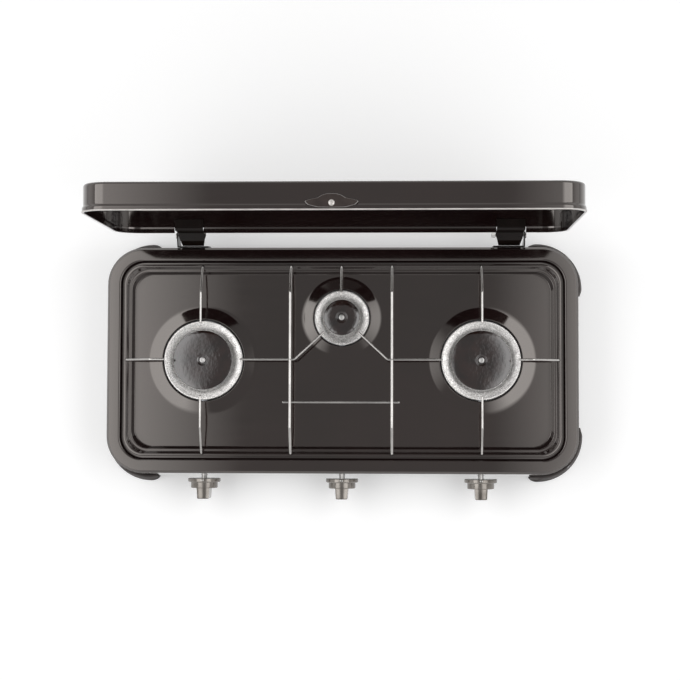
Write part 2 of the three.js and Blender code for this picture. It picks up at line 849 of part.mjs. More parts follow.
function inletPipe() {
  const start = railZ - railDiameter / 2 - fit;
  const corners = [
    [hoseX, railY, start],
    [hoseX, railY, -inletDrop],
    [hoseX, inletEnd, -inletDrop],
  ];
  const pipe = wire(corners, railDiameter / 2, inletBend, pipeSides, pipeBendSteps);
  return piece("inlet_pipe", pipe, zincSteel);
}

function hoseNipple() {
  const start = inletEnd + fit;
  const hex = bar("y", [hoseX, start, -inletDrop], hexNutSize / 2, hexNutLength, hexSides);
  const barbLength = (nippleLength - hexNutLength) / nippleBarbs;
  const [wide, narrow] = [nippleDiameter / 2 + nippleBarb, nippleDiameter / 2];
  const barbs = [];
  for (let i = 0; i < nippleBarbs; i += 1) {
    const from = [hoseX, start + hexNutLength - weldSink + i * barbLength, -inletDrop];
    barbs.push(bar("y", from, wide, barbLength + weldSink, screwSides, narrow));
  }
  const boreStart = [hoseX, start + hexNutLength / 2, -inletDrop];
  const bore = bar("y", boreStart, nippleBore / 2, nippleLength, screwSides);
  return piece("hose_nipple", cut(join([hex, ...barbs]), [bore]), brass);
}

// The strips that carry the cups, from the front wall to the rear wall.
function crossRail({ side, x }) {
  const top = cupBottom - fit;
  const half = wallAt(top) - sheet - fit;
  const strip = block([x, 0, top - crossRailSheet / 2], [crossRailWidth, 2 * half, crossRailSheet]);
  const tabs = [-1, 1].map((sy) =>
    block(
      [x, sy * (half - crossRailSheet / 2), top - crossRailTab / 2],
      [crossRailWidth, crossRailSheet, crossRailTab],
    ),
  );
  return piece(`cross_rail_${side}`, join([strip, ...tabs]), zincSteel);
}

// The lid, its handle and the hinge arms are laid out closed, then turned open about the pins.
const pinY = halfDepth + pinBehindBody;
const pinZ = -pinDrop;
const lipZ = -lidSeatDrop;
const lidTop = lipZ + lidDepth;
const lidWall = lidLipInset + lidBeadOut;
const strapZ = armLift + armSheet / 2;
const notchTop = strapZ + armSheet + armSheet / 2 + fit;
const handleRivetZ = lipZ + handleRivetRise;

function lid() {
  const rollShare = 0.3;
  const lidLoop = ([inset, z]) => bodyLoop([inset, z, lidCorner - (inset - lidLipInset) / 2]);
  const beadTop = lipZ + lidBeadRise;
  const shell = loft(
    [
      [lidWall + lidTopRadius, lidTop],
      [lidWall + lidTopRadius * rollShare, lidTop - lidTopRadius * rollShare],
      [lidWall, lidTop - lidTopRadius],
      [lidWall, beadTop],
      [lidLipInset, beadTop - lidBeadOut],
      [lidLipInset, lipZ],
      [lidLipInset + lidBead, lipZ],
      [lidLipInset + lidBead, beadTop - lidBeadOut],
      [lidWall + lidSheet, beadTop],
      [lidWall + lidSheet, lidTop - lidTopRadius],
      [lidWall + lidSheet + lidTopRadius * rollShare, lidTop - lidSheet - lidTopRadius * rollShare],
      [lidWall + lidSheet + lidTopRadius, lidTop - lidSheet],
    ].map(lidLoop),
  );
  const skirt = halfDepth - lidLipInset;
  const notchSizes = [
    armWidth + 2 * notchClear,
    2 * (lidBead + overrun),
    notchTop - lipZ + overrun,
  ];
  const notches = [leftHinge, rightHinge].map((x) =>
    block([x, skirt, (lipZ + notchTop - overrun) / 2], notchSizes),
  );
  const holeStart = [0, -skirt - overrun, handleRivetZ];
  const holeLength = 2 * overrun + lidBead + lidSheet;
  const rivetHole = bar("y", holeStart, rivetShank / 2 + fit, holeLength, screwSides);
  return piece("lid", cut(shell, [...notches, rivetHole]), enamel);
}

function lidHandle() {
  const half = handleWidth / 2;
  const lowerShares = [[0, 0], [0.55, 0.05], [0.88, 0.24]];
  const upperShares = [[1, 0.47], [0.72, 0.63], [0.5, 0.7], [0.36, 0.92], [0.16, 1], [0, 1]];
  const sideShares = [...lowerShares, ...upperShares];
  const otherShares = sideShares.slice(1, -1).reverse().map(([x, z]) => [-x, z]);
  const points = [...sideShares, ...otherShares].map(([x, z]) => [x * half, z * handleHeight]);
  const flat = plate(points, handleSheet).rotateX(Math.PI / 2);
  const face = -(halfDepth - lidLipInset) - fit;
  const made = solid(flat.translate(0, face, lipZ + handleAboveLip));
  const holeStart = [0, face - handleSheet - overrun, handleRivetZ];
  const holeLength = handleSheet + 2 * overrun;
  const hole = bar("y", holeStart, rivetShank / 2 + fit, holeLength, screwSides);
  return piece("lid_handle", cut(made, [hole]), enamel);
}

function handleRivet() {
  const outer = -(halfDepth - lidLipInset) - 2 * fit - handleSheet;
  const inner = -(halfDepth - lidWall - lidSheet) + fit;
  const crown = [0, outer - rivetHeadHeight, handleRivetZ];
  const shank = bar("y", [0, outer, handleRivetZ], rivetShank / 2, inner - outer, screwSides);
  const head = bar("y", crown, rivetCrown / 2, rivetHeadHeight, screwSides, rivetHead / 2);
  const tail = bar("y", [0, inner, handleRivetZ], rivetTail / 2, rivetHeadHeight / 2, screwSides);
  return piece("handle_rivet", join([shank, head, tail]), chrome);
}

// The outline of a bent strip of even thickness along a path of [y, z] points.
function stripOutline(path, thickness) {
  const points = path.map(([y, z]) => new THREE.Vector2(y, z));
  const sides = [1, -1].map((side) =>
    points.map((point, i) => {
      const from = points[Math.max(i - 1, 0)];
      const to = points[Math.min(i + 1, points.length - 1)];
      const along = to.clone().sub(from).normalize();
      const normal = new THREE.Vector2(-along.y, along.x);
      return point.clone().addScaledVector(normal, (side * thickness) / 2);
    }),
  );
  return [...sides[0], ...sides[1].reverse()].map(({ x, y }) => [x, y]);
}

// A hinge arm: a leaf inside the lid's rear skirt, a strap out over the band, and a tail
// round the pin that meets the bracket when the lid stands open.
function hingeArm(side) {
  const leafY = halfDepth - lidWall - lidSheet - fit - armSheet / 2;
  const tailReach = pinBehindBody - flareAt(pinZ) - bracketSheet - armSheet / 2 - 3 * fit;
  const reach = knuckleRadius + armSheet / 2;
  const turnShares = [1.6, 1.12, 0.95, 0.65];
  const [strapEnd, turnStart, turnMiddle, turnEnd] = turnShares.map((share) => pinY - share * reach);
  const path = [
    [leafY, strapZ + armLeaf],
    [leafY, strapZ + armSheet],
    [leafY + armSheet, strapZ],
    [strapEnd, strapZ],
    [turnStart, strapZ - armSheet / 2],
    [turnMiddle, pinZ],
    [turnEnd, pinZ - reach],
    [pinY + armTailSwing, pinZ - tailReach],
  ];
  const strip = solid(sidePlate(stripOutline(path, armSheet), armWidth));
  const leafTop = strapZ + armLeaf + overrun;
  const tailEnd = pinZ - tailReach;
  const taper = plate(
    [
      [-armWidth / 2, leafTop],
      [-armWidth / 2, pinZ],
      [-armTailWidth / 2, tailEnd],
      [-armTailWidth / 2, tailEnd - 2 * armSheet],
      [armTailWidth / 2, tailEnd - 2 * armSheet],
      [armTailWidth / 2, tailEnd],
      [armWidth / 2, pinZ],
      [armWidth / 2, leafTop],
    ],
    2 * pinY,
  ).rotateX(Math.PI / 2);
  const shaped = strip.intersect(solid(taper.translate(0, 2 * pinY, 0)));
  const earX = armTailWidth / 2 - armSheet;
  const ears = [-1, 1].flatMap((way) => {
    const start = way * earX - armSheet / 2;
    const eye = bar("x", [start, pinY, pinZ], knuckleRadius - fit, armSheet, smallRoundSides);
    const web = block([way * earX, pinY - reach / 2, pinZ], [armSheet, reach, knuckleRadius]);
    return [eye, web];
  });
  const holeStart = [-armWidth, pinY, pinZ];
  const hole = bar("x", holeStart, pinDiameter / 2 + pinFit, 2 * armWidth, smallRoundSides);
  return piece(`hinge_arm_${side}`, cut(join([shaped, ...ears]), [hole]), enamel);
}

// A bracket on the rear wall: a plate along the wall and one cheek that carries the pin.
function hingeBracket(side, cheekWay) {
  const top = -bandRoll - fit;
  const low = top - bracketHeight;
  const wallFace = (z) => wallAt(z) + fit;
  const back = solid(
    sidePlate(
      [
        [wallFace(low), low],
        [wallFace(top), top],
        [wallFace(top) + bracketSheet, top],
        [wallFace(low) + bracketSheet, low],
      ],
      armWidth + 2 * cheekGap,
    ),
  );
  const boss = knuckleRadius - fit;
  const slant = boss * Math.SQRT1_2;
  const cheekFlat = sidePlate(
    [
      [wallFace(low), low],
      [wallFace(low) + 2 * bracketSheet, low],
      [pinY + slant, pinZ - slant],
      [pinY + boss, pinZ],
      [pinY + slant, pinZ + slant],
      [pinY, pinZ + boss],
      [pinY - slant, pinZ + slant],
      [wallFace(top), top],
    ],
    bracketSheet,
  );
  const cheekX = cheekWay * (armWidth / 2 + cheekGap - bracketSheet / 2);
  const cheek = solid(cheekFlat.translate(cheekX, 0, 0));
  const holeStart = [cheekX - bracketSheet, pinY, pinZ];
  const holeRadius = pinDiameter / 2 + pinFit;
  const hole = bar("x", holeStart, holeRadius, 2 * bracketSheet, smallRoundSides);
  return piece(`hinge_bracket_${side}`, cut(join([back, cheek]), [hole]), enamel);
}

// A pin with a head outside the cheek, reaching past the far ear by its tail.
function hingePin(side, cheekWay, tail) {
  const headStart = armWidth / 2 + cheekGap + fit;
  const far = armTailWidth / 2 + tail;
  const [start, headAt] =
    cheekWay > 0 ? [-far, headStart] : [-headStart - fit, -headStart - pinHeadHeight];
  const length = far + headStart + fit;
  const shank = bar("x", [start, pinY, pinZ], pinDiameter / 2, length, smallRoundSides);
  const head = bar("x", [headAt, pinY, pinZ], pinDiameter, pinHeadHeight, screwSides);
  return piece(`hinge_pin_${side}`, join([shank, head]), zincSteel);
}

function hingeNut() {
  const start = -armWidth / 2 - fit - nutLength;
  const nut = bar("x", [start, pinY, pinZ], nutSize / 2, nutLength, hexSides);
  const holeStart = [start - overrun, pinY, pinZ];
  const holeRadius = pinDiameter / 2 + fit;
  const hole = bar("x", holeStart, holeRadius, nutLength + 2 * overrun, smallRoundSides);
  return piece("hinge_nut_right", cut(nut, [hole]), chrome);
}

// Assembly
const stove = new THREE.Group();
stove.add(bodyCasing(), hobPan(), centreTrivet(), gasRail(), inletPipe(), hoseNipple());
for (const corner of Object.keys(cornerSigns)) {
  stove.add(cornerFoot(corner), footScrewPiece(corner));
}
for (const plan of prongPlans) {
  stove.add(prong(...plan));
}
for (const place of burnerPlaces) {
  stove.add(
    placed(place.x, place.y, 0, burnerCup(place), burnerCap(place), capScrew(place)),
    placed(
      place.x,
      0,
      -knobHeight,
      mixingTube(place),
      valveBody(place),
      valvePlug(place),
      valveStem(place),
      knob(place),
    ),
    crossRail(place),
  );
}
stove.add(
  placed(leftHinge, 0, 0, hingeBracket("left", -1), hingePin("left", -1, 0)),
  placed(rightHinge, 0, 0, hingeBracket("right", 1), hingePin("right", 1, nutTail), hingeNut()),
);

const lidParts = placed(0, -pinY, -pinZ, lid(), lidHandle(), handleRivet());
const armsAt = [["left", leftHinge], ["right", rightHinge]];
for (const [side, x] of armsAt) lidParts.add(placed(x, 0, 0, hingeArm(side)));
const lidTurn = placed(0, pinY, pinZ, lidParts);
lidTurn.rotation.x = -THREE.MathUtils.degToRad(lidOpenAngle);
lidTurn.name = "lid_turn";
stove.add(lidTurn);

// The whole stove stands on Z = 0 with its middle over the origin.
stove.updateMatrixWorld(true);
const extent = new THREE.Box3().setFromObject(stove, true);
const middle = extent.getCenter(new THREE.Vector3());
stove.position.set(-middle.x, -middle.y, -extent.min.z);

const group = new THREE.Group();
group.add(stove);
export default group;
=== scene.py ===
# A three-burner gas stove with its lid standing open, dressed for a photograph from above.
# Lengths of the stove are in millimetres from the middle of the body at the top of its
# flat band, and each piece is put into the frame, in metres, by its place.
import math

import bmesh
import bpy
from mathutils import Matrix, Vector


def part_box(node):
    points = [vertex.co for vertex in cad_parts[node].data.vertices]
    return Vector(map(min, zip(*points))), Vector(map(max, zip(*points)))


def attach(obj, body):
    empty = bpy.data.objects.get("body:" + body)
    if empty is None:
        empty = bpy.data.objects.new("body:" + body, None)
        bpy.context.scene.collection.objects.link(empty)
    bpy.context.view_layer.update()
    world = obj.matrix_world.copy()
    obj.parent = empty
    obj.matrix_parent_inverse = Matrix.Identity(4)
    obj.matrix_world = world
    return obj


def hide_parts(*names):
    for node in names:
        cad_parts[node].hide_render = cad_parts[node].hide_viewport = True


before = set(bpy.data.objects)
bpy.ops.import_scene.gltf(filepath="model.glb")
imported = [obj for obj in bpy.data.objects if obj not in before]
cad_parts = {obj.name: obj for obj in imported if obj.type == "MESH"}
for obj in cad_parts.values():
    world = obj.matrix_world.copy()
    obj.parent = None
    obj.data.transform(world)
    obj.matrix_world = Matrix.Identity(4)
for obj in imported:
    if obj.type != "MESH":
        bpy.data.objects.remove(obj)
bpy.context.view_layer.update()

MM = 0.001

# The body casing
BODY_HALF_WIDTH = 330.0
BODY_HALF_DEPTH = 158.5
BODY_CORNER = 52.0
WALL_HEIGHT = 62.0
WALL_FLARE = 5.0
SHEET = 1.2
BAND_WIDTH = 16.6
BAND_ROLL = 3.0
EDGE_INSET = 0.3
EDGE_DROP = 3.4
EDGE_RUN = 3.6
EDGE_RADIUS = 1.0
GROOVE_OUTER = BAND_WIDTH + BAND_ROLL
GROOVE_WIDTH = 4.4
GROOVE_INNER = GROOVE_OUTER + GROOVE_WIDTH
GROOVE_DEPTH = 8.0
LEDGE_WIDTH = 5.0
LEDGE_EDGE = GROOVE_INNER + LEDGE_WIDTH
HEM_WIDTH = 9.0
FIT = 0.3
OVERRUN = 2.0
HOSE_X = 98.0
HOSE_NOTCH_HALF = 13.0
HOSE_NOTCH_HEIGHT = 38.0
HOSE_NOTCH_BELOW = 5.0
STEM_HOLE_RADIUS = 5.5
BURNER_SPACING = 195.0
SMALL_BURNER_BACK = 60.0
KNOB_HEIGHT = 32.0

# The hob pan
RIM_DROP = 0.8
STEP_RUN = 3.4
LAND_END = GROOVE_INNER + STEP_RUN
STEP_START = LAND_END + STEP_RUN
STEP_END = STEP_START + STEP_RUN
FLOOR_START = STEP_END + STEP_RUN
FLOOR_RUN_IN = 6.0
STEP_DEPTH = 6.0
PAN_DEPTH = 14.0
PAN_CORNER = 25.0
PRESS_RADIUS = 1.6
FLOOR_CUT_BELOW = 4.0
FLOOR_CUT_ABOVE = 3.0
CONE_FOOT_RUN = 5.0
CONE_FOOT_RADIUS = 60.0
CONE_LIP = 2.0
CONE_LIP_INWARD = 1.3
CONE_LIP_RADIUS = 1.2
CONE_FOOT_INWARD = 1.0
CONE_BACK_INWARD = 2.0
CONE_CREST_RUN = 0.6
CONE_CREST_RISE = 0.2

# The burners: their places, then diameters, heights and counts
LARGE_BURNER = dict(cone=151, hole=117, ring=111, cap=83, port=76, cup=62, rise=3.0, teeth=76)
SMALL_BURNER = dict(cone=114, hole=82, ring=77, cap=50, port=44, cup=36, rise=2.6, teeth=44)
BURNERS = {
    "left": dict(at=(-BURNER_SPACING, 0.0), **LARGE_BURNER),
    "centre": dict(at=(0.0, SMALL_BURNER_BACK), **SMALL_BURNER),
    "right": dict(at=(BURNER_SPACING, 0.0), **LARGE_BURNER),
}
RING_BELOW_CONE = 0.5
RING_THICK = 2.0
RING_EDGE = 2.0
DISH_DROP = 2.6
DISH_RUN = 5.0
PORT_HEIGHT = 9.0
TOOTH_HEIGHT = 3.5
TOOTH_WIDTH = 2.0
TOOTH_SINK = 0.5
CROWN_WALL = 5.0
CUP_WALL = 2.5
CUP_FLOOR = 4.0
CUP_BELOW_TUBE = 14.0
CUP_THROAT = 1.0
DISH_RADIUS = 0.8
BOSS_RADIUS = 5.0
CAP_EDGE = 2.2
CAP_EDGE_RADIUS = 2.5
CAP_EASE_SHARE = 1.5
CAP_UNDER_INWARD = 1.1
CAP_UNDER_RISE = 0.6
CAP_DOME_SHARES = [0.85, 0.76, 0.65, 0.52, 0.40]
CAP_DOME = 2.0
CAP_FLATNESS = 5
CAP_DIMPLE = 8.0
CAP_DIMPLE_DEPTH = 1.2
CAP_DIMPLE_ROUNDING = 1.5
CAP_DIMPLE_SLOPE = 2.0
SCREW_HOLE = 2.3
SCREW_PROFILE = [
    (2, -8), (2, 0), (4, 0), (4, 0.9), (3.6, 1.4), (2.9, 1.6), (2.2, 1.6), (1.9, 0.7), (0.4, 0.6),
]
TRENCH_RUN = 4.7
TRENCH_DEPTH = 1.5
PIP_HALF = 0.8

# The pot supports
LONG_WIRE = 4.0
THIN_WIRE = 3.2
WIRE_TOP = 24.0
LONG_WIRE_X = 70.5
PEG_INSET = 3.6
PEG_Y = BODY_HALF_DEPTH - GROOVE_INNER - PEG_INSET
PEG_X = BODY_HALF_WIDTH - GROOVE_INNER - PEG_INSET
PEG_TIP = -GROOVE_DEPTH + FIT
WIRE_FOOT = 5.0
WIRE_SLOPE_RUN = 37.0
WIRE_BEND = 6.0
WIRE_BEND_STEPS = 6
WIRE_SIDES = 20
WIRE_END_SHARES = [0.0, 0.38, 0.71, 0.92]
WIRE_TIP_SHARE = 0.15
BENT_WIRE_SET_IN = 6.0
DIAGONAL_REACH = 31.5
INNER_PRONG_REACH = 54.0
PRONG_REACH = 50.0
SMALL_PRONG_REACH = 28.0
CROSS_WIRE_OVERHANG = 11.0
CROSS_WIRE_FRONT = 59.0
WELD_SINK = 0.5

# The corner feet
FLOOR_CLEAR = 24.0
GROUND = -(WALL_HEIGHT + FLOOR_CLEAR)
FOOT_REACH = 8.0
FOOT_RUN = 13.0
FOOT_HEIGHT = 40.0
FOOT_TOP = GROUND + FOOT_HEIGHT
FOOT_CHAMFER = 2.0
FOOT_TOP_EDGE = 2.5
FOOT_TOP_EASE = 1.0
FOOT_SCREW_BELOW_TOP = 9.0
FOOT_SEAT = 58.26
FOOT_RECESS_RADIUS = 4.6
FOOT_RECESS_DEPTH = 12.0
FOOT_END_STEPS = 8
FOOT_HOLLOW_STEPS = 16

# Round-headed fasteners
HEAD_RADIUS = 4.0
HEAD_HEIGHT = 1.6
HEAD_STEPS = 6
HEAD_SINK = 0.02
SHANK_RADIUS = 2.0
FOOT_SHANK = 10.0
RIVET_SHANK = 3.6
RIVET_ABOVE_LIP = 8.5

# The lid, laid out closed and turned open about the pins
LIP_INSET = 20.4
LID_LIP = -2.0
LID_DEPTH = 35.6
LID_CORNER = 32.0
LID_TOP_RADIUS = 6.0
LID_BEAD = 2.4
LID_BEAD_OUT = 1.4
LID_BEAD_RISE = 7.0
LID_BEAD_ABOVE = 1.0
LID_BEAD_BELOW = 1.5
LID_TOP_RUN = 9.0
HANDLE_HALF = 33.5
HANDLE_HEIGHT = 17.0
HANDLE_EDGE = 0.5
HANDLE_FACE_RISE = 0.3
HANDLE_ABOVE_LIP = 2.8
HANDLE_ROUNDING = 3.0
HANDLE_SHARES = [
    (0, 0), (0.50, 0.02), (0.86, 0.20), (1, 0.46), (0.74, 0.60), (0.52, 0.68), (0.34, 0.90),
    (0.16, 0.99), (0, 1),
]
# A pale ring along the lid's lip, coloured as a painted highlight
RIM_RADIUS = 1.0
RIM_INSET = 0.6
RIM_RISE = 0.8
RIM_SIDES = 12
ARM_WIDTH = 39.0
NOTCH_CLEAR = 0.8
NOTCH_REACH = 6.0
NOTCH_BELOW = 3.0
NOTCH_TOP = 5.6
LID_OPEN = math.radians(88.9)
PIN_Y = 175.0
PIN_Z = -2.0
HINGES = {"left": -210.0, "right": 234.0}

# A knob about its own axis: (radius, height) profiles, and the grip as (height, half
# width, half length) levels
SKIRT_BACK = -165.807
KNOB_SKIRT_PROFILE = [(2, 0), (22.2, 0), (23, 0.8), (23, 4.6), (22.1, 5.5), (19.4, 5.5)]
KNOB_BODY_PROFILE = [(19, 5.9), (19, 12.8), (18.6, 13.6), (17.8, 14)]
KNOB_CROWN_PROFILE = [(9, 14.2), (2, 14.2)]
KNOB_GRIP_LEVELS = [(13.5, 9.0, 18.0), (27.5, 8.2, 17.4), (28.6, 7.6, 16.8), (29, 6.6, 15.8)]
KNOB_STEPS = 96
GRIP_END_STEPS = 12
RIB_COUNT = 60
RIB_LOW = (22.4, -0.5, 0.9)
RIB_HIGH = (22.95, 0.5, 4.5)
TICK_PLACES = (-2.0, 0.6)
TICK_WIDTH = 1.0
TICK_RADII = (22.9, 23.06)
TICK_HEIGHTS = (1.5, 3.6)

# How finely round shapes are drawn
CORNER_STEPS = 20
ROUND_STEPS = 128
SCREW_STEPS = 48
SMALL_STEPS = 32
SHANK_STEPS = 24
LEAST_RADIUS = 0.02
LEAST_CORNER = 0.5

# How far a noise's middle part is spread over a material's two ends
NOISE_LOW = 0.35
NOISE_HIGH = 0.65

# The least turn of an edge, in degrees, at which a CAD node's edge is eased
DRESS_ANGLE = 30

# The stage: lengths here are in metres, in the frame, and 1 is white in a level of light
FLOOR_HALF = 8.0
FLOOR_COLOUR = (0.8, 0.8, 0.8, 1)
FLOOR_GLOW = 0.3
# The floor's painted shade: a rectangle under the stove where the floor's glow is cut off
SHADE_PATCH_HALF_WIDTH = 0.32
SHADE_PATCH_HALF_DEPTH = 0.15
FILL_STRENGTH = 0.35
CEILING = 0.35
CEILING_START = 0.3
CEILING_END = 0.8
PANEL_Z = 1.6
PANEL_INNER = 0.3
PANEL_OUTER = 1.9
PANEL_DEPTH = 2.0
PANEL_FEATHER = 0.4
PANEL_RADIANCE = 2.3

# The photograph's viewpoint, in the stove's own measures, and its turns in degrees
CAMERA_PLACE = (88.97, -87.42, 2206.0)
CAMERA_TURNS = {"Y": 2.365, "X": 2.994, "Z": 0.166}
CAMERA_LENS = 83.8
CAMERA_SENSOR = 36.0
CAMERA_FAR = 50.0


def stove_place():
    """From the body's own measures to the frame, read from where the casing lies."""
    low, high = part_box("body_casing")
    middle = (low + high) / 2
    return Matrix.Translation((middle.x, middle.y, high.z)) @ Matrix.Scale(MM, 4)


STOVE = stove_place()
PIVOT = Matrix.Translation((0, PIN_Y, PIN_Z))
LID = STOVE @ PIVOT @ Matrix.Rotation(-LID_OPEN, 4, "X") @ PIVOT.inverted()


# Outlines and skins, as (points, faces) parts
def rounded(corners, radius, steps=5):
    """Corners of a line with each inner one rounded, in two or three dimensions."""
    nodes = [Vector(corner) for corner in corners]
    points = [nodes[0]]
    for before, here, after in zip(nodes, nodes[1:], nodes[2:]):
        back = (before - here).normalized()
        ahead = (after - here).normalized()
        half = back.angle(ahead) / 2
        run = min(radius / math.tan(half), (before - here).length / 2, (after - here).length / 2)
        start = here + back * run
        end = here + ahead * run
        for i in range(steps + 1):
            share = i / steps
            points.append(start.lerp(here, share).lerp(here.lerp(end, share), share))
    points.append(nodes[-1])
    return points


def pairs(points):
    """Points as plain tuples of numbers."""
    return [tuple(point) for point in points]


def body_loop(inset, z, radius=None):
    """A rounded rectangle at an inset from the band's outer edge."""
    if radius is None:
        radius = BODY_CORNER - inset
    radius = max(radius, LEAST_CORNER)
    half_width = BODY_HALF_WIDTH - inset - radius
    half_depth = BODY_HALF_DEPTH - inset - radius
    points = []
    for quarter, (sx, sy) in enumerate([(1, 1), (-1, 1), (-1, -1), (1, -1)]):
        for step in range(CORNER_STEPS + 1):
            angle = math.pi / 2 * (quarter + step / CORNER_STEPS)
            x = sx * half_width + radius * math.cos(angle)
            y = sy * half_depth + radius * math.sin(angle)
            points.append(Vector((x, y, z)))
    return points


def loft(loops, ring=False):
    """Loops joined in order, closed on themselves or by a flat face at each end."""
    count = len(loops[0])
    points = [point for loop in loops for point in loop]
    faces = []
    spans = len(loops) if ring else len(loops) - 1
    for level in range(spans):
        low = level * count
        high = (level + 1) % len(loops) * count
        for i in range(count):
            j = (i + 1) % count
            faces.append((low + i, low + j, high + j, high + i))
    if not ring:
        last = (len(loops) - 1) * count
        faces.append(tuple(reversed(range(count))))
        faces.append(tuple(range(last, last + count)))
    return points, faces


def circle(radius, z, steps=ROUND_STEPS):
    angles = [2 * math.pi * i / steps for i in range(steps)]
    return [Vector((radius * math.cos(a), radius * math.sin(a), z)) for a in angles]


def turned(profile, steps=ROUND_STEPS, ring=False):
    """A turned piece about Z from (radius, height) points, capped at its ends or a ring."""
    return loft([circle(max(radius, LEAST_RADIUS), z, steps) for radius, z in profile], ring)


def moved(part, matrix):
    points, faces = part
    return [matrix @ point for point in points], faces


def tube(path, radius):
    """A round wire along a path, with rounded ends."""
    forward = [(path[i + 1] - path[i]).normalized() for i in range(len(path) - 1)]
    tangents = [forward[0]]
    tangents += [(a + b).normalized() for a, b in zip(forward, forward[1:])]
    tangents.append(forward[-1])
    centres, sizes, ways = [], [], []
    for share in WIRE_END_SHARES:
        drop = math.sqrt(1 - (1 - share) ** 2)
        centres.append(path[0] + forward[0] * radius * share)
        sizes.append(radius * max(drop, WIRE_TIP_SHARE))
        ways.append(forward[0])
    for point, way in list(zip(path, tangents))[1:-1]:
        centres.append(point)
        sizes.append(radius)
        ways.append(way)
    for share in reversed(WIRE_END_SHARES):
        drop = math.sqrt(1 - (1 - share) ** 2)
        centres.append(path[-1] - forward[-1] * radius * share)
        sizes.append(radius * max(drop, WIRE_TIP_SHARE))
        ways.append(forward[-1])
    side = ways[0].orthogonal().normalized()
    loops = []
    for centre, size, way in zip(centres, sizes, ways):
        side = (side - way * side.dot(way)).normalized()
        across = way.cross(side)
        loop = []
        for i in range(WIRE_SIDES):
            angle = 2 * math.pi * i / WIRE_SIDES
            loop.append(centre + (side * math.cos(angle) + across * math.sin(angle)) * size)
        loops.append(loop)
    return loft(loops)


def cuboid(low, high):
    xs, ys, zs = zip(low, high)
    points = [Vector((x, y, z)) for z in zs for y in ys for x in xs]
    faces = [(0, 2, 3, 1), (4, 5, 7, 6), (0, 1, 5, 4), (2, 6, 7, 3), (0, 4, 6, 2), (1, 3, 7, 5)]
    return points, faces


def slab(outline, thickness):
    """A flat outline of (x, y) points with a thickness along Z from 0."""
    return loft([[Vector((x, y, z)) for x, y in outline] for z in (0, thickness)])


# Pieces
def mesh_of(name, parts, place):
    points, faces = [], []
    for part_points, part_faces in parts:
        start = len(points)
        points += [place @ point for point in part_points]
        faces += [tuple(start + i for i in face) for face in part_faces]
    mesh = bpy.data.meshes.new(name)
    mesh.from_pydata(points, [], faces)
    outward = bmesh.new()
    outward.from_mesh(mesh)
    bmesh.ops.recalc_face_normals(outward, faces=outward.faces)
    outward.to_mesh(mesh)
    outward.free()
    return mesh


def carve(obj, parts, place):
    """Cuts each part out of the object."""
    cutter = bpy.data.objects.new("cutter", mesh_of("cutter", parts, place))
    bpy.context.collection.objects.link(cutter)
    cut = obj.modifiers.new("cut", "BOOLEAN")
    cut.object = cutter
    cut.solver = "EXACT"
    cut.use_self = True
    graph = bpy.context.evaluated_depsgraph_get()
    made = bpy.data.meshes.new_from_object(obj.evaluated_get(graph))
    obj.modifiers.clear()
    obj.data = made
    bpy.data.objects.remove(cutter)


def ease_edges(obj, bevel, sharp_angle):
    """Rounds the edges that are sharper than an angle."""
    edge = obj.modifiers.new("bevel", "BEVEL")
    edge.width = bevel * MM
    edge.segments = 2
    edge.limit_method = "ANGLE"
    edge.angle_limit = math.radians(sharp_angle)


def finish_edges(obj, sharp_angle, bevel):
    """Smooth faces with sharp or rounded edges."""
    if bevel:
        ease_edges(obj, bevel, sharp_angle)
    obj.data.shade_smooth()
    obj.data.set_sharp_from_angle(angle=math.radians(sharp_angle if not bevel else 180))
    weighted = obj.modifiers.new("normals", "WEIGHTED_NORMAL")
    weighted.keep_sharp = True


def piece(name, parts, place, look, body, nodes, cuts=None, sharp_angle=40, bevel=0.0):
    """A named object that stands for CAD nodes and rides on a body."""
    obj = bpy.data.objects.new(name, mesh_of(name, parts, place))
    bpy.context.collection.objects.link(obj)
    if cuts:
        carve(obj, cuts, place)
    obj.data.materials.clear()
    obj.data.materials.append(look)
    finish_edges(obj, sharp_angle, bevel)
    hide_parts(*nodes)
    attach(obj, body)


def dress(node, look, bevel):
    """A CAD node keeps its shape, with its edges eased and its own material."""
    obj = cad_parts[node]
    obj.data.materials.clear()
    obj.data.materials.append(look)
    flat = obj.modifiers.new("flat faces", "DECIMATE")
    flat.decimate_type = "DISSOLVE"
    flat.angle_limit = math.radians(1)
    if bevel:
        ease_edges(obj, bevel, DRESS_ANGLE)


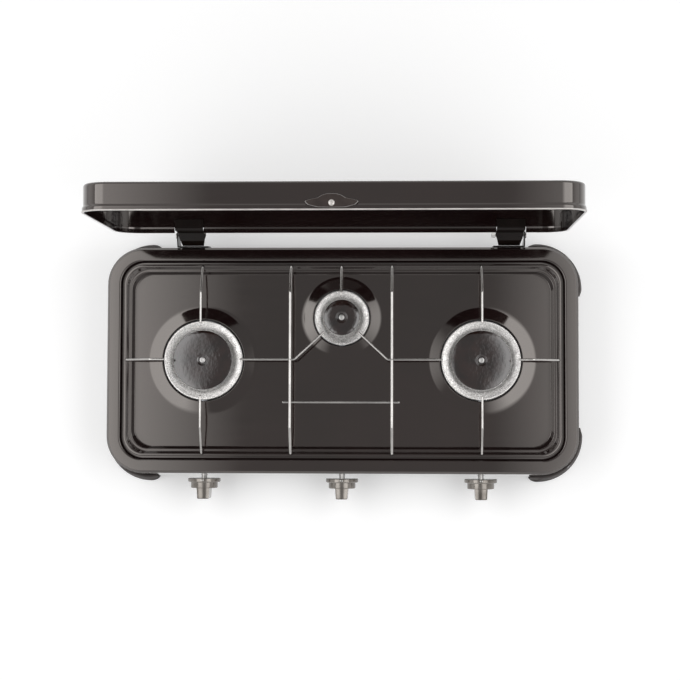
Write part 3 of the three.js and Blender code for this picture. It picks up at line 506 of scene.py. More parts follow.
# Materials
class Look:
    """A material with a principled shader, and short calls for the nodes in front of it."""

    def __init__(self, name, roughness, metallic=0.0):
        self.material = bpy.data.materials.new(name)
        self.material.use_nodes = True
        self.nodes = self.material.node_tree.nodes
        self.links = self.material.node_tree.links
        self.shader = self.nodes["Principled BSDF"]
        self.set("Roughness", roughness)
        self.set("Metallic", metallic)
        self.place = self.nodes.new("ShaderNodeTexCoord").outputs["Object"]
        self.normal = None

    def set(self, socket, value):
        self.shader.inputs[socket].default_value = value

    def noise(self, scale, detail=2.0, stretch=(1, 1, 1)):
        spread = self.nodes.new("ShaderNodeMapping")
        spread.inputs["Scale"].default_value = stretch
        self.links.new(self.place, spread.inputs["Vector"])
        node = self.nodes.new("ShaderNodeTexNoise")
        node.inputs["Scale"].default_value = scale
        node.inputs["Detail"].default_value = detail
        self.links.new(spread.outputs["Vector"], node.inputs["Vector"])
        return node.outputs["Fac"]

    def ramp(self, value, socket, low, high):
        """The middle part of a noise drives a colour or a number from low to high."""
        if isinstance(low, (int, float)):
            node = self.nodes.new("ShaderNodeMapRange")
            node.inputs["From Min"].default_value = NOISE_LOW
            node.inputs["From Max"].default_value = NOISE_HIGH
            node.inputs["To Min"].default_value = low
            node.inputs["To Max"].default_value = high
            self.links.new(value, node.inputs["Value"])
            self.links.new(node.outputs["Result"], self.shader.inputs[socket])
            return
        node = self.nodes.new("ShaderNodeValToRGB")
        node.color_ramp.elements[0].position = NOISE_LOW
        node.color_ramp.elements[1].position = NOISE_HIGH
        node.color_ramp.elements[0].color = (*low, 1)
        node.color_ramp.elements[1].color = (*high, 1)
        self.links.new(value, node.inputs["Fac"])
        self.links.new(node.outputs["Color"], self.shader.inputs[socket])

    def bump(self, value, height):
        """Relief from a value, its height in millimetres, laid over what is there already."""
        node = self.nodes.new("ShaderNodeBump")
        node.inputs["Distance"].default_value = height * MM
        node.inputs["Strength"].default_value = 1.0
        self.links.new(value, node.inputs["Height"])
        if self.normal:
            self.links.new(self.normal, node.inputs["Normal"])
        self.normal = node.outputs["Normal"]
        self.links.new(self.normal, self.shader.inputs["Normal"])


def enamel_look(name, low, high, roughness, wave_height):
    """Glassy brown-black enamel: fine speckle in the colour and a faint orange peel."""
    look = Look(name, roughness)
    look.set("IOR", 1.7)
    look.set("Specular Tint", (1.0, 0.90, 0.82, 1.0))
    look.set("Coat Weight", 1.0)
    look.set("Coat IOR", 1.5)
    look.set("Coat Roughness", 0.05)
    look.ramp(look.noise(9, 4), "Base Color", low, high)
    look.ramp(look.noise(14, 3, (1, 6, 1)), "Roughness", roughness - 0.02, roughness + 0.02)
    look.bump(look.noise(160, 2), wave_height)
    return look.material


def cap_look():
    """Thick black-brown enamel with a strong orange peel."""
    look = Look("cap enamel", 0.10)
    look.set("IOR", 1.6)
    look.set("Coat Weight", 1.0)
    look.set("Coat Roughness", 0.05)
    look.ramp(look.noise(60, 4), "Base Color", (0.008, 0.003, 0.002), (0.020, 0.008, 0.006))
    look.bump(look.noise(230, 1.5), 0.30)
    look.bump(look.noise(700, 1), 0.05)
    return look.material


def chrome_look(name, colour, roughness):
    """Plated metal, a little duller in patches."""
    look = Look(name, roughness, 1.0)
    dark = tuple(share * 0.8 for share in colour)
    look.ramp(look.noise(40, 3), "Base Color", dark, colour)
    look.ramp(look.noise(90, 4), "Roughness", roughness - 0.05, roughness + 0.08)
    look.bump(look.noise(600, 2), 0.02)
    return look.material


def aluminium_look():
    """A rough casting: fine grain over broad hollows."""
    look = Look("cast aluminium", 0.35, 1.0)
    look.ramp(look.noise(700, 3), "Base Color", (0.40, 0.39, 0.38), (0.85, 0.83, 0.81))
    look.ramp(look.noise(160, 4), "Roughness", 0.32, 0.50)
    look.bump(look.noise(600, 4), 0.40)
    look.bump(look.noise(110, 2), 0.25)
    return look.material


def metal_look(name, low, high, roughness):
    """Bare metal with uneven colour and polish."""
    look = Look(name, roughness, 1.0)
    look.ramp(look.noise(35, 4), "Base Color", low, high)
    look.ramp(look.noise(80, 4), "Roughness", roughness - 0.08, roughness + 0.08)
    look.bump(look.noise(900, 3), 0.03)
    return look.material


def plastic_look(name, low, high, roughness, grain, metallic=0.0, coat=0.0, gloss=0.5):
    """A moulded or painted surface with a fine grain."""
    look = Look(name, roughness, metallic)
    look.set("Specular IOR Level", gloss)
    look.set("Coat Weight", coat)
    look.set("Coat Roughness", 0.08)
    look.ramp(look.noise(50, 3), "Base Color", low, high)
    look.bump(look.noise(1400, 3), grain)
    return look.material


def mark_look():
    look = Look("white marking", 0.5)
    look.ramp(look.noise(500, 2), "Base Color", (0.70, 0.69, 0.67), (0.82, 0.81, 0.79))
    return look.material


enamel = enamel_look("body enamel", (0.008, 0.004, 0.004), (0.012, 0.006, 0.006), 0.08, 0.010)
pan_enamel = enamel_look("pan enamel", (0.008, 0.004, 0.004), (0.012, 0.006, 0.006), 0.09, 0.010)
lid_enamel = enamel_look("lid enamel", (0.008, 0.004, 0.004), (0.011, 0.005, 0.005), 0.08, 0.010)
cap_enamel = cap_look()
handle_enamel = plastic_look(
    "handle enamel", (0.030, 0.022, 0.020), (0.045, 0.034, 0.030), 0.40, 0.02, gloss=0.25,
)
chrome_wire = chrome_look("plated wire", (0.62, 0.60, 0.58), 0.18)
chrome_trim = chrome_look("plated trim", (0.80, 0.79, 0.77), 0.14)
aluminium = aluminium_look()
zinc = metal_look("zinc plate", (0.45, 0.46, 0.48), (0.62, 0.63, 0.64), 0.32)
screw_steel = metal_look("screw steel", (0.45, 0.44, 0.43), (0.60, 0.59, 0.58), 0.35)
# The pale colour of the ring on the lid's lip, a painted highlight
lip_highlight_paint = plastic_look("painted lip highlight", (0.50, 0.47, 0.45), (0.66, 0.63, 0.61), 0.40, 0.02, metallic=0.3)
handle_edge_metal = metal_look("handle edge", (0.30, 0.28, 0.27), (0.40, 0.38, 0.37), 0.40)
rivet_steel = metal_look("rivet steel", (0.48, 0.45, 0.43), (0.60, 0.57, 0.55), 0.48)
brass = metal_look("brass", (0.52, 0.38, 0.18), (0.66, 0.50, 0.26), 0.30)
foot_plastic = plastic_look(
    "foot plastic", (0.050, 0.044, 0.042), (0.080, 0.070, 0.067), 0.55, 0.05, gloss=0.05,
)
hinge_enamel = plastic_look(
    "hinge enamel", (0.006, 0.004, 0.003), (0.010, 0.006, 0.005), 0.28, 0.02, gloss=0.18,
)
stem_steel = metal_look("stem steel", (0.35, 0.34, 0.33), (0.45, 0.44, 0.43), 0.35)
knob_plastic = plastic_look(
    "knob plastic", (0.13, 0.115, 0.10), (0.22, 0.20, 0.18), 0.22, 0.01, metallic=0.7, coat=0.5,
)
white_mark = mark_look()


# Shapes of each piece
def casing():
    """The pressed side walls, the flat band, and the groove that the lid closes into."""
    middle = BAND_WIDTH / 2
    outside = rounded(
        [(-WALL_FLARE, -WALL_HEIGHT), (EDGE_INSET, -EDGE_DROP), (EDGE_RUN, 0), (middle, 0)],
        EDGE_RADIUS, 5,
    )
    fold = rounded(
        [(middle, 0), (GROOVE_OUTER, 0), (GROOVE_OUTER, -GROOVE_DEPTH), (LEDGE_EDGE, -GROOVE_DEPTH)],
        BAND_ROLL, 6,
    )
    under = [
        (LEDGE_EDGE, -GROOVE_DEPTH - SHEET),
        (GROOVE_OUTER - SHEET, -GROOVE_DEPTH - SHEET),
        (GROOVE_OUTER - SHEET, -BAND_ROLL - SHEET / 2),
        (BAND_WIDTH - SHEET / 2, -SHEET),
        (BAND_ROLL + SHEET / 2, -SHEET),
        (SHEET, -BAND_ROLL - SHEET / 2),
        (SHEET - WALL_FLARE, SHEET - WALL_HEIGHT),
        (HEM_WIDTH - WALL_FLARE, SHEET - WALL_HEIGHT),
        (HEM_WIDTH - WALL_FLARE, -WALL_HEIGHT),
    ]
    profile = pairs(outside + fold[1:]) + under
    wall = BODY_HALF_DEPTH + WALL_FLARE + OVERRUN
    inside = BODY_HALF_DEPTH - BODY_CORNER / 2
    notch_low = (HOSE_X - HOSE_NOTCH_HALF, inside, -WALL_HEIGHT - HOSE_NOTCH_BELOW)
    notch_high = (HOSE_X + HOSE_NOTCH_HALF, wall, -WALL_HEIGHT + HOSE_NOTCH_HEIGHT)
    cuts = [cuboid(notch_low, notch_high)]
    lay = Matrix.Rotation(math.pi / 2, 4, "X")
    for burner in BURNERS.values():
        hole = turned([(STEM_HOLE_RADIUS, inside), (STEM_HOLE_RADIUS, wall)], SMALL_STEPS)
        cuts.append(moved(hole, Matrix.Translation((burner["at"][0], 0, -KNOB_HEIGHT)) @ lay))
    return loft([body_loop(inset, z) for inset, z in profile], ring=True), cuts


def pan_corner(inset):
    outer = BODY_CORNER - GROOVE_INNER
    share = (inset - GROOVE_INNER) / (FLOOR_START - GROOVE_INNER)
    return outer + (PAN_CORNER - outer) * share


def pan():
    """The pan's stepped rim and flat floor, with a hole for each burner and each wire foot."""
    skirt = -GROOVE_DEPTH + FIT
    top = rounded(
        [
            (GROOVE_INNER, skirt), (GROOVE_INNER, -RIM_DROP), (LAND_END, -RIM_DROP),
            (STEP_START, -STEP_DEPTH), (STEP_END, -STEP_DEPTH), (FLOOR_START, -PAN_DEPTH),
            (FLOOR_START + FLOOR_RUN_IN, -PAN_DEPTH),
        ],
        PRESS_RADIUS, 4,
    )
    lean = SHEET / 2
    below = [
        (FLOOR_START - lean, -PAN_DEPTH - SHEET), (STEP_END - lean, -STEP_DEPTH - SHEET),
        (STEP_START - lean, -STEP_DEPTH - SHEET), (LAND_END - lean, -RIM_DROP - SHEET),
        (GROOVE_INNER + SHEET, -RIM_DROP - SHEET), (GROOVE_INNER + SHEET, skirt),
    ]
    levels = list(reversed(below + pairs(top)))
    sheet = loft([body_loop(inset, z, pan_corner(inset)) for inset, z in levels])
    cuts = []
    for burner in BURNERS.values():
        radius = burner["cone"] / 2 + CONE_FOOT_RUN
        hole = turned([(radius, -PAN_DEPTH - FLOOR_CUT_BELOW), (radius, -PAN_DEPTH + FLOOR_CUT_ABOVE)])
        cuts.append(moved(hole, Matrix.Translation((*burner["at"], 0))))
    for x, y, radius in pegs():
        hole = turned([(radius + FIT, -GROOVE_DEPTH - OVERRUN), (radius + FIT, OVERRUN)], SHANK_STEPS)
        cuts.append(moved(hole, Matrix.Translation((x, y, 0))))
    return sheet, cuts


def pegs():
    """Where the wires' feet go through the rim, as (x, y, radius)."""
    places = [(-PEG_X, 0), (PEG_X, 0), (0, PEG_Y)]
    places += [(side * BURNER_SPACING, way * PEG_Y) for side in (-1, 1) for way in (-1, 1)]
    thin = [(x, y, THIN_WIRE / 2) for x, y in places]
    thick = [
        (side * LONG_WIRE_X, way * PEG_Y, LONG_WIRE / 2) for side in (-1, 1) for way in (-1, 1)
    ]
    return thin + thick


def cone(burner):
    """The raised cone round a burner hole, eased into the floor and rolled at its top."""
    outer = burner["cone"] / 2
    inner = burner["hole"] / 2 - CONE_LIP_INWARD
    top = -PAN_DEPTH + burner["rise"]
    foot = rounded(
        [
            (outer + CONE_FOOT_RUN, -PAN_DEPTH), (outer - CONE_FOOT_INWARD, -PAN_DEPTH),
            (inner + CONE_LIP, top),
        ],
        CONE_FOOT_RADIUS, 8,
    )
    crest = (inner + CONE_CREST_RUN, top + CONE_CREST_RISE)
    lip = rounded([foot[-1], crest, (inner, top - CONE_LIP)], CONE_LIP_RADIUS, 5)
    skin = pairs(foot[:-1]) + pairs(lip)
    back = [
        (inner + SHEET, top - CONE_LIP), (inner + CONE_LIP, top - SHEET),
        (outer - CONE_BACK_INWARD, -PAN_DEPTH - SHEET), (outer + CONE_FOOT_RUN, -PAN_DEPTH - SHEET),
    ]
    return moved(turned(skin + back, ring=True), Matrix.Translation((*burner["at"], 0)))


def lid_shell():
    """The lid's sheet: a flat top, a rounded shoulder, the skirt and its rolled lip."""
    wall = LIP_INSET + LID_BEAD_OUT
    top = LID_LIP + LID_DEPTH
    bead = LID_LIP + LID_BEAD_RISE
    outside = rounded(
        [
            (wall + LID_TOP_RUN, top), (wall, top), (wall, bead + LID_BEAD_ABOVE),
            (LIP_INSET, bead - LID_BEAD_BELOW), (LIP_INSET, LID_LIP), (LIP_INSET + LID_BEAD, LID_LIP),
        ],
        LID_TOP_RADIUS, 8,
    )
    inside = [
        (LIP_INSET + LID_BEAD, LID_LIP), (LIP_INSET + LID_BEAD, bead - LID_BEAD_BELOW),
        (wall + SHEET, bead + LID_BEAD_ABOVE), (wall + SHEET, top - SHEET),
        (wall + SHEET + LID_TOP_RUN, top - SHEET),
    ]
    inside = rounded(inside, LID_TOP_RADIUS - SHEET, 6)
    profile = pairs(outside + inside[1:])
    shell = loft([body_loop(inset, z, LID_CORNER - (inset - LIP_INSET) / 2) for inset, z in profile])
    return shell, hinge_notches()


def hinge_notches():
    """Where the hinge arms pass the lid's rear skirt."""
    rear = BODY_HALF_DEPTH - LIP_INSET
    half = ARM_WIDTH / 2 + NOTCH_CLEAR
    near, far = rear - NOTCH_REACH, rear + NOTCH_REACH
    bottom = LID_LIP - NOTCH_BELOW
    return [cuboid((x - half, near, bottom), (x + half, far, NOTCH_TOP)) for x in HINGES.values()]


def handle_rivet():
    """The rivet through the handle, with its head in front."""
    front = -(BODY_HALF_DEPTH - LIP_INSET) - 2 * FIT - SHEET
    lift = Matrix.Translation((0, front, LID_LIP + RIVET_ABOVE_LIP))
    stand = lift @ Matrix.Rotation(math.pi / 2, 4, "X")
    return [moved(part, stand) for part in round_head(RIVET_SHANK)]


def lid_rim():
    """A pale ring on the lid's rolled lip, its colour a painted highlight, open where the hinge arms pass.
    """
    middle = LIP_INSET + RIM_INSET
    loops = []
    for i in range(RIM_SIDES):
        angle = 2 * math.pi * i / RIM_SIDES
        inset = middle + RIM_RADIUS * math.cos(angle)
        z = LID_LIP + RIM_RISE + RIM_RADIUS * math.sin(angle)
        loops.append(body_loop(inset, z, LID_CORNER - (inset - LIP_INSET)))
    return loft(loops, ring=True), hinge_notches()


def handle_outline(inset):
    """The handle's outline, with a point at each side, drawn in by an inset."""
    half = HANDLE_HALF - 2 * inset
    height = HANDLE_HEIGHT - 2 * inset
    right = [Vector((x * half, inset + z * height)) for x, z in HANDLE_SHARES]
    smooth = rounded(right, HANDLE_ROUNDING, 4)
    return smooth + [Vector((-point.x, point.y)) for point in reversed(smooth[1:-1])]


def handle_plate(inset, thickness):
    """A flat plate of the handle's shape against the front skirt."""
    face = -(BODY_HALF_DEPTH - LIP_INSET) - FIT
    lift = Matrix.Translation((0, face, LID_LIP + HANDLE_ABOVE_LIP))
    stand = lift @ Matrix.Rotation(math.pi / 2, 4, "X")
    return moved(slab(handle_outline(inset), thickness), stand)


def round_head(shank):
    """A low round head on a shank, its flat underside at zero."""
    profile = [(HEAD_RADIUS, -HEAD_SINK)]
    for i in range(HEAD_STEPS + 1):
        angle = math.pi / 2 * (i / HEAD_STEPS)
        profile.append((HEAD_RADIUS * math.cos(angle), HEAD_HEIGHT * math.sin(angle)))
    return [turned(profile, SMALL_STEPS), turned([(SHANK_RADIUS, -shank), (SHANK_RADIUS, 0)], SHANK_STEPS)]


def ring_top(burner):
    """How high a cup's ring lies, a little under its cone."""
    return -PAN_DEPTH + burner["rise"] - RING_BELOW_CONE


def cap_seat(burner):
    """How high the crown of teeth ends, where the cap lies."""
    return ring_top(burner) - DISH_DROP + PORT_HEIGHT


def cap_height(burner, radius):
    """How high the cap's face stands at a radius: nearly flat, and falling off to its edge."""
    share = 2 * radius / burner["cap"]
    return cap_seat(burner) + FIT + CAP_EDGE + CAP_DOME * (1 - share**CAP_FLATNESS)


def burner_cup(burner):
    """A cast cup with a dished ring and a crown of teeth round its ports."""
    ring, port, cup = burner["ring"] / 2, burner["port"] / 2, burner["cup"] / 2
    high = ring_top(burner)
    low = high - DISH_DROP
    seat = cap_seat(burner)
    slots = seat - TOOTH_HEIGHT
    bottom = -KNOB_HEIGHT - CUP_BELOW_TUBE
    dish = rounded(
        [
            (ring, high - RING_THICK), (ring, high), (ring - RING_EDGE, high),
            (port + DISH_RUN, low), (port + TRENCH_RUN, low),
        ],
        DISH_RADIUS, 4,
    )
    outside = [(cup, bottom), (cup, low - RING_THICK), (ring, high - RING_THICK)]
    outside += pairs(dish[1:])
    outside += [(port + TRENCH_RUN, low - TRENCH_DEPTH), (port, low - TRENCH_DEPTH)]
    inside = [
        (port, slots), (port - CROWN_WALL, slots), (port - CROWN_WALL, low - RING_THICK),
        (cup - CUP_WALL, low - RING_THICK - CUP_THROAT), (cup - CUP_WALL, bottom + CUP_FLOOR),
        (BOSS_RADIUS, bottom + CUP_FLOOR), (BOSS_RADIUS, seat), (SCREW_HOLE, seat), (SCREW_HOLE, bottom),
    ]
    parts = [turned(outside + inside, ring=True)]
    count = burner["teeth"]
    half = TOOTH_WIDTH / 2
    for i in range(count):
        tooth = cuboid((port - CROWN_WALL, -half, slots - TOOTH_SINK), (port, half, seat))
        pip = cuboid((port, -PIP_HALF, low - TRENCH_DEPTH), (port + TRENCH_RUN + FIT, PIP_HALF, low))
        turn = Matrix.Rotation(2 * math.pi * i / count, 4, "Z")
        parts += [moved(tooth, turn), moved(pip, turn)]
    return [moved(part, Matrix.Translation((*burner["at"], 0))) for part in parts]


def burner_cap(burner):
    """A low domed cap with a rolled edge and a dimple for its screw."""
    edge = burner["cap"] / 2
    under = cap_seat(burner) + FIT
    eased = edge - CAP_EASE_SHARE * CAP_EDGE_RADIUS
    rim = rounded(
        [
            (edge - CAP_UNDER_INWARD, under), (edge, under + CAP_UNDER_RISE),
            (edge, cap_height(burner, edge)), (eased, cap_height(burner, eased)),
        ],
        CAP_EDGE_RADIUS, 8,
    )
    crown = [(edge * share, cap_height(burner, edge * share)) for share in CAP_DOME_SHARES]
    brim = CAP_DIMPLE + CAP_DIMPLE_ROUNDING
    floor = cap_height(burner, CAP_DIMPLE) - CAP_DIMPLE_DEPTH
    dimple = rounded(
        [
            (brim, cap_height(burner, brim)), (CAP_DIMPLE, cap_height(burner, CAP_DIMPLE)),
            (CAP_DIMPLE - CAP_DIMPLE_SLOPE, floor), (SCREW_HOLE, floor),
        ],
        CAP_DIMPLE_ROUNDING, 5,
    )
    profile = [(SCREW_HOLE, under)] + pairs(rim) + crown
    profile += pairs(dimple)
    return moved(turned(profile, ring=True), Matrix.Translation((*burner["at"], 0)))


def cap_screw(burner):
    """The screw in a cap's dimple, with a hollow in its head."""
    seat = cap_height(burner, CAP_DIMPLE) - CAP_DIMPLE_DEPTH + FIT
    at = Matrix.Translation((*burner["at"], seat))
    return [moved(turned(SCREW_PROFILE, SCREW_STEPS), at)]


def wires():
    """The centre trivet's long wires, bent wires and cross wire."""
    long_level = WIRE_TOP - LONG_WIRE / 2
    thin_level = WIRE_TOP - THIN_WIRE / 2
    parts = []
    for side in (-1, 1):
        x = side * LONG_WIRE_X
        rear = [(x, PEG_Y, PEG_TIP), (x, PEG_Y, WIRE_FOOT), (x, PEG_Y - WIRE_SLOPE_RUN, long_level)]
        front = [(x, -y, z) for x, y, z in reversed(rear)]
        parts.append(tube(rounded(rear + front, WIRE_BEND, WIRE_BEND_STEPS), LONG_WIRE / 2))
        turn = side * (LONG_WIRE_X - BENT_WIRE_SET_IN)
        to_small = Vector((-turn, SMALL_BURNER_BACK))
        share = 1 - DIAGONAL_REACH / to_small.length
        bent = [
            (side * (BURNER_SPACING - INNER_PRONG_REACH), 0, thin_level),
            (turn, 0, thin_level),
            (turn + to_small.x * share, to_small.y * share, thin_level),
        ]
        parts.append(tube(rounded(bent, WIRE_BEND, WIRE_BEND_STEPS), THIN_WIRE / 2))
    level = WIRE_TOP - LONG_WIRE - THIN_WIRE / 2 + WELD_SINK
    reach = LONG_WIRE_X + CROSS_WIRE_OVERHANG
    ends = [Vector((side * reach, -CROSS_WIRE_FRONT, level)) for side in (-1, 1)]
    parts.append(tube(ends, THIN_WIRE / 2))
    return parts


# Each prong: its axis, its place across that, where its foot stands and where it ends
PRONGS = {
    "prong_left_outer": ("x", 0.0, -PEG_X, -BURNER_SPACING - PRONG_REACH),
    "prong_right_outer": ("x", 0.0, PEG_X, BURNER_SPACING + PRONG_REACH),
    "prong_left_front": ("y", -BURNER_SPACING, -PEG_Y, -PRONG_REACH),
    "prong_left_rear": ("y", -BURNER_SPACING, PEG_Y, PRONG_REACH),
    "prong_right_front": ("y", BURNER_SPACING, -PEG_Y, -PRONG_REACH),
    "prong_right_rear": ("y", BURNER_SPACING, PEG_Y, PRONG_REACH),
    "prong_centre_rear": ("y", 0.0, PEG_Y, SMALL_BURNER_BACK + SMALL_PRONG_REACH),
}


def prong(axis, across, peg, tip):
    """A single wire that rises from its foot at the rim and runs level over a burner."""
    level = WIRE_TOP - THIN_WIRE / 2
    way = math.copysign(1, tip - peg)
    line = [(peg, PEG_TIP), (peg, WIRE_FOOT), (peg + way * WIRE_SLOPE_RUN, level), (tip, level)]
    path = [(along, across, z) if axis == "x" else (across, along, z) for along, z in line]
    return tube(rounded(path, WIRE_BEND, WIRE_BEND_STEPS), THIN_WIRE / 2)


def foot_outline(inner, outer, z):
    """A quarter ring that wraps a corner, with a straight run and a rounded end on each side."""
    end = (outer - inner) / 2
    steps = FOOT_END_STEPS
    turns = [math.pi / 2 * (1 - i / steps) for i in range(steps)]
    side = [(inner, -FOOT_RUN)]
    side += [(inner + end + end * math.cos(a), -FOOT_RUN * math.sin(a)) for a in turns]
    bends = [math.pi / 4 * i / steps for i in range(steps)]
    side += [(outer * math.cos(a), outer * math.sin(a)) for a in bends]
    middle = (outer * math.sqrt(0.5), outer * math.sqrt(0.5))
    hollow = [math.pi / 2 * (1 - i / FOOT_HOLLOW_STEPS) for i in range(FOOT_HOLLOW_STEPS + 1)]
    points = side + [middle] + [(y, x) for x, y in reversed(side)]
    points += [(inner * math.cos(a), inner * math.sin(a)) for a in hollow]
    return [Vector((x, y, z)) for x, y in points]


def foot_skin(z):
    """Where a foot meets the flared wall, from the corner's centre."""
    return BODY_CORNER + WALL_FLARE * (-z - BAND_ROLL) / (WALL_HEIGHT - BAND_ROLL) + FIT


def corner_foot(corner):
    """A moulded foot round a corner: it slopes out to the ground and has a shelf under the wall."""
    wall_bottom = BODY_CORNER + WALL_FLARE
    under = wall_bottom - HEM_WIDTH
    shelf = -WALL_HEIGHT - FIT
    widest = GROUND + FOOT_CHAMFER
    shoulder = FOOT_TOP - FOOT_TOP_EASE
    top_outer = foot_skin(FOOT_TOP) + FOOT_TOP_EDGE
    slope = (wall_bottom + FOOT_REACH - top_outer) / (FOOT_TOP - widest)

    def outer(z):
        return top_outer + (FOOT_TOP - z) * slope

    loops = [
        foot_outline(under, outer(widest) - FOOT_CHAMFER, GROUND),
        foot_outline(under, outer(widest) - FOOT_CHAMFER / 3, GROUND + FOOT_CHAMFER / 3),
        foot_outline(under, outer(widest), widest),
        foot_outline(under, outer(shelf), shelf),
        foot_outline(foot_skin(-WALL_HEIGHT), outer(shelf), shelf),
        foot_outline(foot_skin(shoulder), outer(shoulder), shoulder),
        foot_outline(foot_skin(FOOT_TOP), top_outer - FOOT_TOP_EASE, FOOT_TOP),
    ]
    return moved(loft(loops), corner_place(corner))


def foot_hole(corner):
    """The recess that a foot's screw sits in."""
    out = foot_screw_place(FOOT_SEAT)
    recess = turned([(FOOT_RECESS_RADIUS, 0), (FOOT_RECESS_RADIUS, FOOT_RECESS_DEPTH)], SMALL_STEPS)
    return moved(recess, corner_place(corner) @ out)


# Each corner: the sides it lies on, and its foot's turn in degrees
CORNERS = {
    "rear_right": (1, 1, 0),
    "rear_left": (-1, 1, 90),
    "front_left": (-1, -1, 180),
    "front_right": (1, -1, 270),
}


def corner_place(corner):
    """From a corner's own axis to the stove."""
    sx, sy, turn = CORNERS[corner]
    centre = (sx * (BODY_HALF_WIDTH - BODY_CORNER), sy * (BODY_HALF_DEPTH - BODY_CORNER), 0)
    return Matrix.Translation(centre) @ Matrix.Rotation(math.radians(turn), 4, "Z")


def foot_screw_place(seat):
    """From a screw's own axis to a corner's diagonal, out from the corner's centre."""
    diagonal = Matrix.Rotation(math.radians(45), 4, "Z")
    stand = Matrix.Translation((seat, 0, FOOT_TOP - FOOT_SCREW_BELOW_TOP))
    return diagonal @ stand @ Matrix.Rotation(math.pi / 2, 4, "Y")


def foot_screw(corner):
    """A round-headed screw whose axis points out along the corner's diagonal."""
    out = foot_screw_place(FOOT_SEAT + FIT)
    return [moved(part, corner_place(corner) @ out) for part in round_head(FOOT_SHANK)]


def knob_parts():
    """The knob about its own axis, its height running away from the wall."""
    body = turned(KNOB_SKIRT_PROFILE + KNOB_BODY_PROFILE + KNOB_CROWN_PROFILE, KNOB_STEPS)
    grip = []
    for z, half_width, half_length in KNOB_GRIP_LEVELS:
        grip.append([Vector((x, y, z)) for x, y in grip_outline(half_width, half_length)])
    ribs = []
    for i in range(RIB_COUNT):
        turn = Matrix.Rotation(2 * math.pi * i / RIB_COUNT, 4, "Z")
        ribs.append(moved(cuboid(RIB_LOW, RIB_HIGH), turn))
    return [body, loft(grip), *ribs]


def knob_ticks():
    """Two short marks on a knob's edge."""
    (near, far), (low, high) = TICK_RADII, TICK_HEIGHTS
    return [cuboid((x, near, low), (x + TICK_WIDTH, far, high)) for x in TICK_PLACES]


def grip_outline(half_width, half_length):
    """A grip's outline: two flat sides that end on a circle."""
    points = []
    reach = math.sqrt(half_length**2 - half_width**2)
    angle = math.atan2(reach, half_width)
    for start, end in ((-angle, -math.pi + angle), (math.pi - angle, angle)):
        for i in range(GRIP_END_STEPS + 1):
            a = start + (end - start) * i / GRIP_END_STEPS
            points.append((half_length * math.cos(a), half_length * math.sin(a)))
    return list(reversed(points))


# The stove, piece by piece
ROOT = "stove_body"
shape, cuts = casing()
piece("casing", [shape], STOVE, enamel, ROOT, ["body_casing"], cuts)
shape, cuts = pan()
piece("pan", [shape], STOVE, pan_enamel, ROOT, ["hob_pan"], cuts)
for side, burner in BURNERS.items():
    cup, cap, screw = f"cup_{side}", f"cap_{side}", f"screw_{side}"
    piece(f"cone_{side}", [cone(burner)], STOVE, pan_enamel, ROOT, ["hob_pan"])
    piece(
        cup, burner_cup(burner), STOVE, aluminium, ROOT, [f"burner_{cup}"], sharp_angle=30,
    )
    piece(cap, [burner_cap(burner)], STOVE, cap_enamel, ROOT, [f"burner_{cap}"])
    piece(screw, cap_screw(burner), STOVE, screw_steel, ROOT, [f"cap_{screw}"])

piece("trivet", wires(), STOVE, chrome_wire, ROOT, ["centre_trivet"])
for name, plan in PRONGS.items():
    piece(f"{name}_wire", [prong(*plan)], STOVE, chrome_wire, ROOT, [name])

for corner in CORNERS:
    piece(
        f"foot_{corner}", [corner_foot(corner)], STOVE, foot_plastic, ROOT,
        [f"corner_foot_{corner}"], [foot_hole(corner)], bevel=0.4,
    )
    piece(f"screw_{corner}", foot_screw(corner), STOVE, zinc, ROOT, [f"foot_screw_{corner}"])

shape, cuts = lid_shell()
piece("lid_sheet", [shape], LID, lid_enamel, "lid", ["lid"], cuts)
# The lid's lip gets a pale ring whose colour is a painted highlight
shape, cuts = lid_rim()
piece("lid_rim", [shape], LID, lip_highlight_paint, "lid", ["lid"], cuts)
edge = [handle_plate(0, SHEET - HANDLE_FACE_RISE)]
face = [handle_plate(HANDLE_EDGE, SHEET)]
piece("handle_edge", edge, LID, handle_edge_metal, "lid", ["lid_handle"], bevel=0.3)
piece("handle_face", face, LID, handle_enamel, "lid", ["lid_handle"], bevel=0.1)
piece("rivet", handle_rivet(), LID, rivet_steel, "lid", ["handle_rivet"])

for side, burner in BURNERS.items():
    knob = f"knob_{side}"
    front = Matrix.Translation((burner["at"][0], SKIRT_BACK, -KNOB_HEIGHT))
    at = front @ Matrix.Rotation(math.pi / 2, 4, "X")
    parts = [moved(part, at) for part in knob_parts()]
    piece(f"{knob}_grip", parts, STOVE, knob_plastic, knob, [knob], sharp_angle=35)
    ticks = [moved(part, at) for part in knob_ticks()]
    piece(f"{knob}_mark", ticks, STOVE, white_mark, knob, [knob])

for side in HINGES:
    dress(f"hinge_arm_{side}", hinge_enamel, 0.4)
    dress(f"hinge_bracket_{side}", hinge_enamel, 0.3)
    dress(f"hinge_pin_{side}", stem_steel, 0.2)
dress("hinge_nut_right", chrome_trim, 0.4)
for side in BURNERS:
    dress(f"mixing_tube_{side}", zinc, 0)
    dress(f"valve_body_{side}", brass, 0.3)
    dress(f"valve_plug_{side}", brass, 0)
    dress(f"valve_stem_{side}", stem_steel, 0)
    dress(f"cross_rail_{side}", zinc, 0.3)
dress("gas_rail", zinc, 0)
dress("inlet_pipe", zinc, 0)
dress("hose_nipple", brass, 0)


# Floor, background, lights and camera
def math_node(nodes, links, operation, *values):
    """One step of arithmetic on sockets and numbers."""
    node = nodes.new("ShaderNodeMath")
    node.operation = operation
    for socket, value in zip(node.inputs, values):
        if isinstance(value, (int, float)):
            socket.default_value = value
        else:
            links.new(value, socket)
    return node.outputs[0]


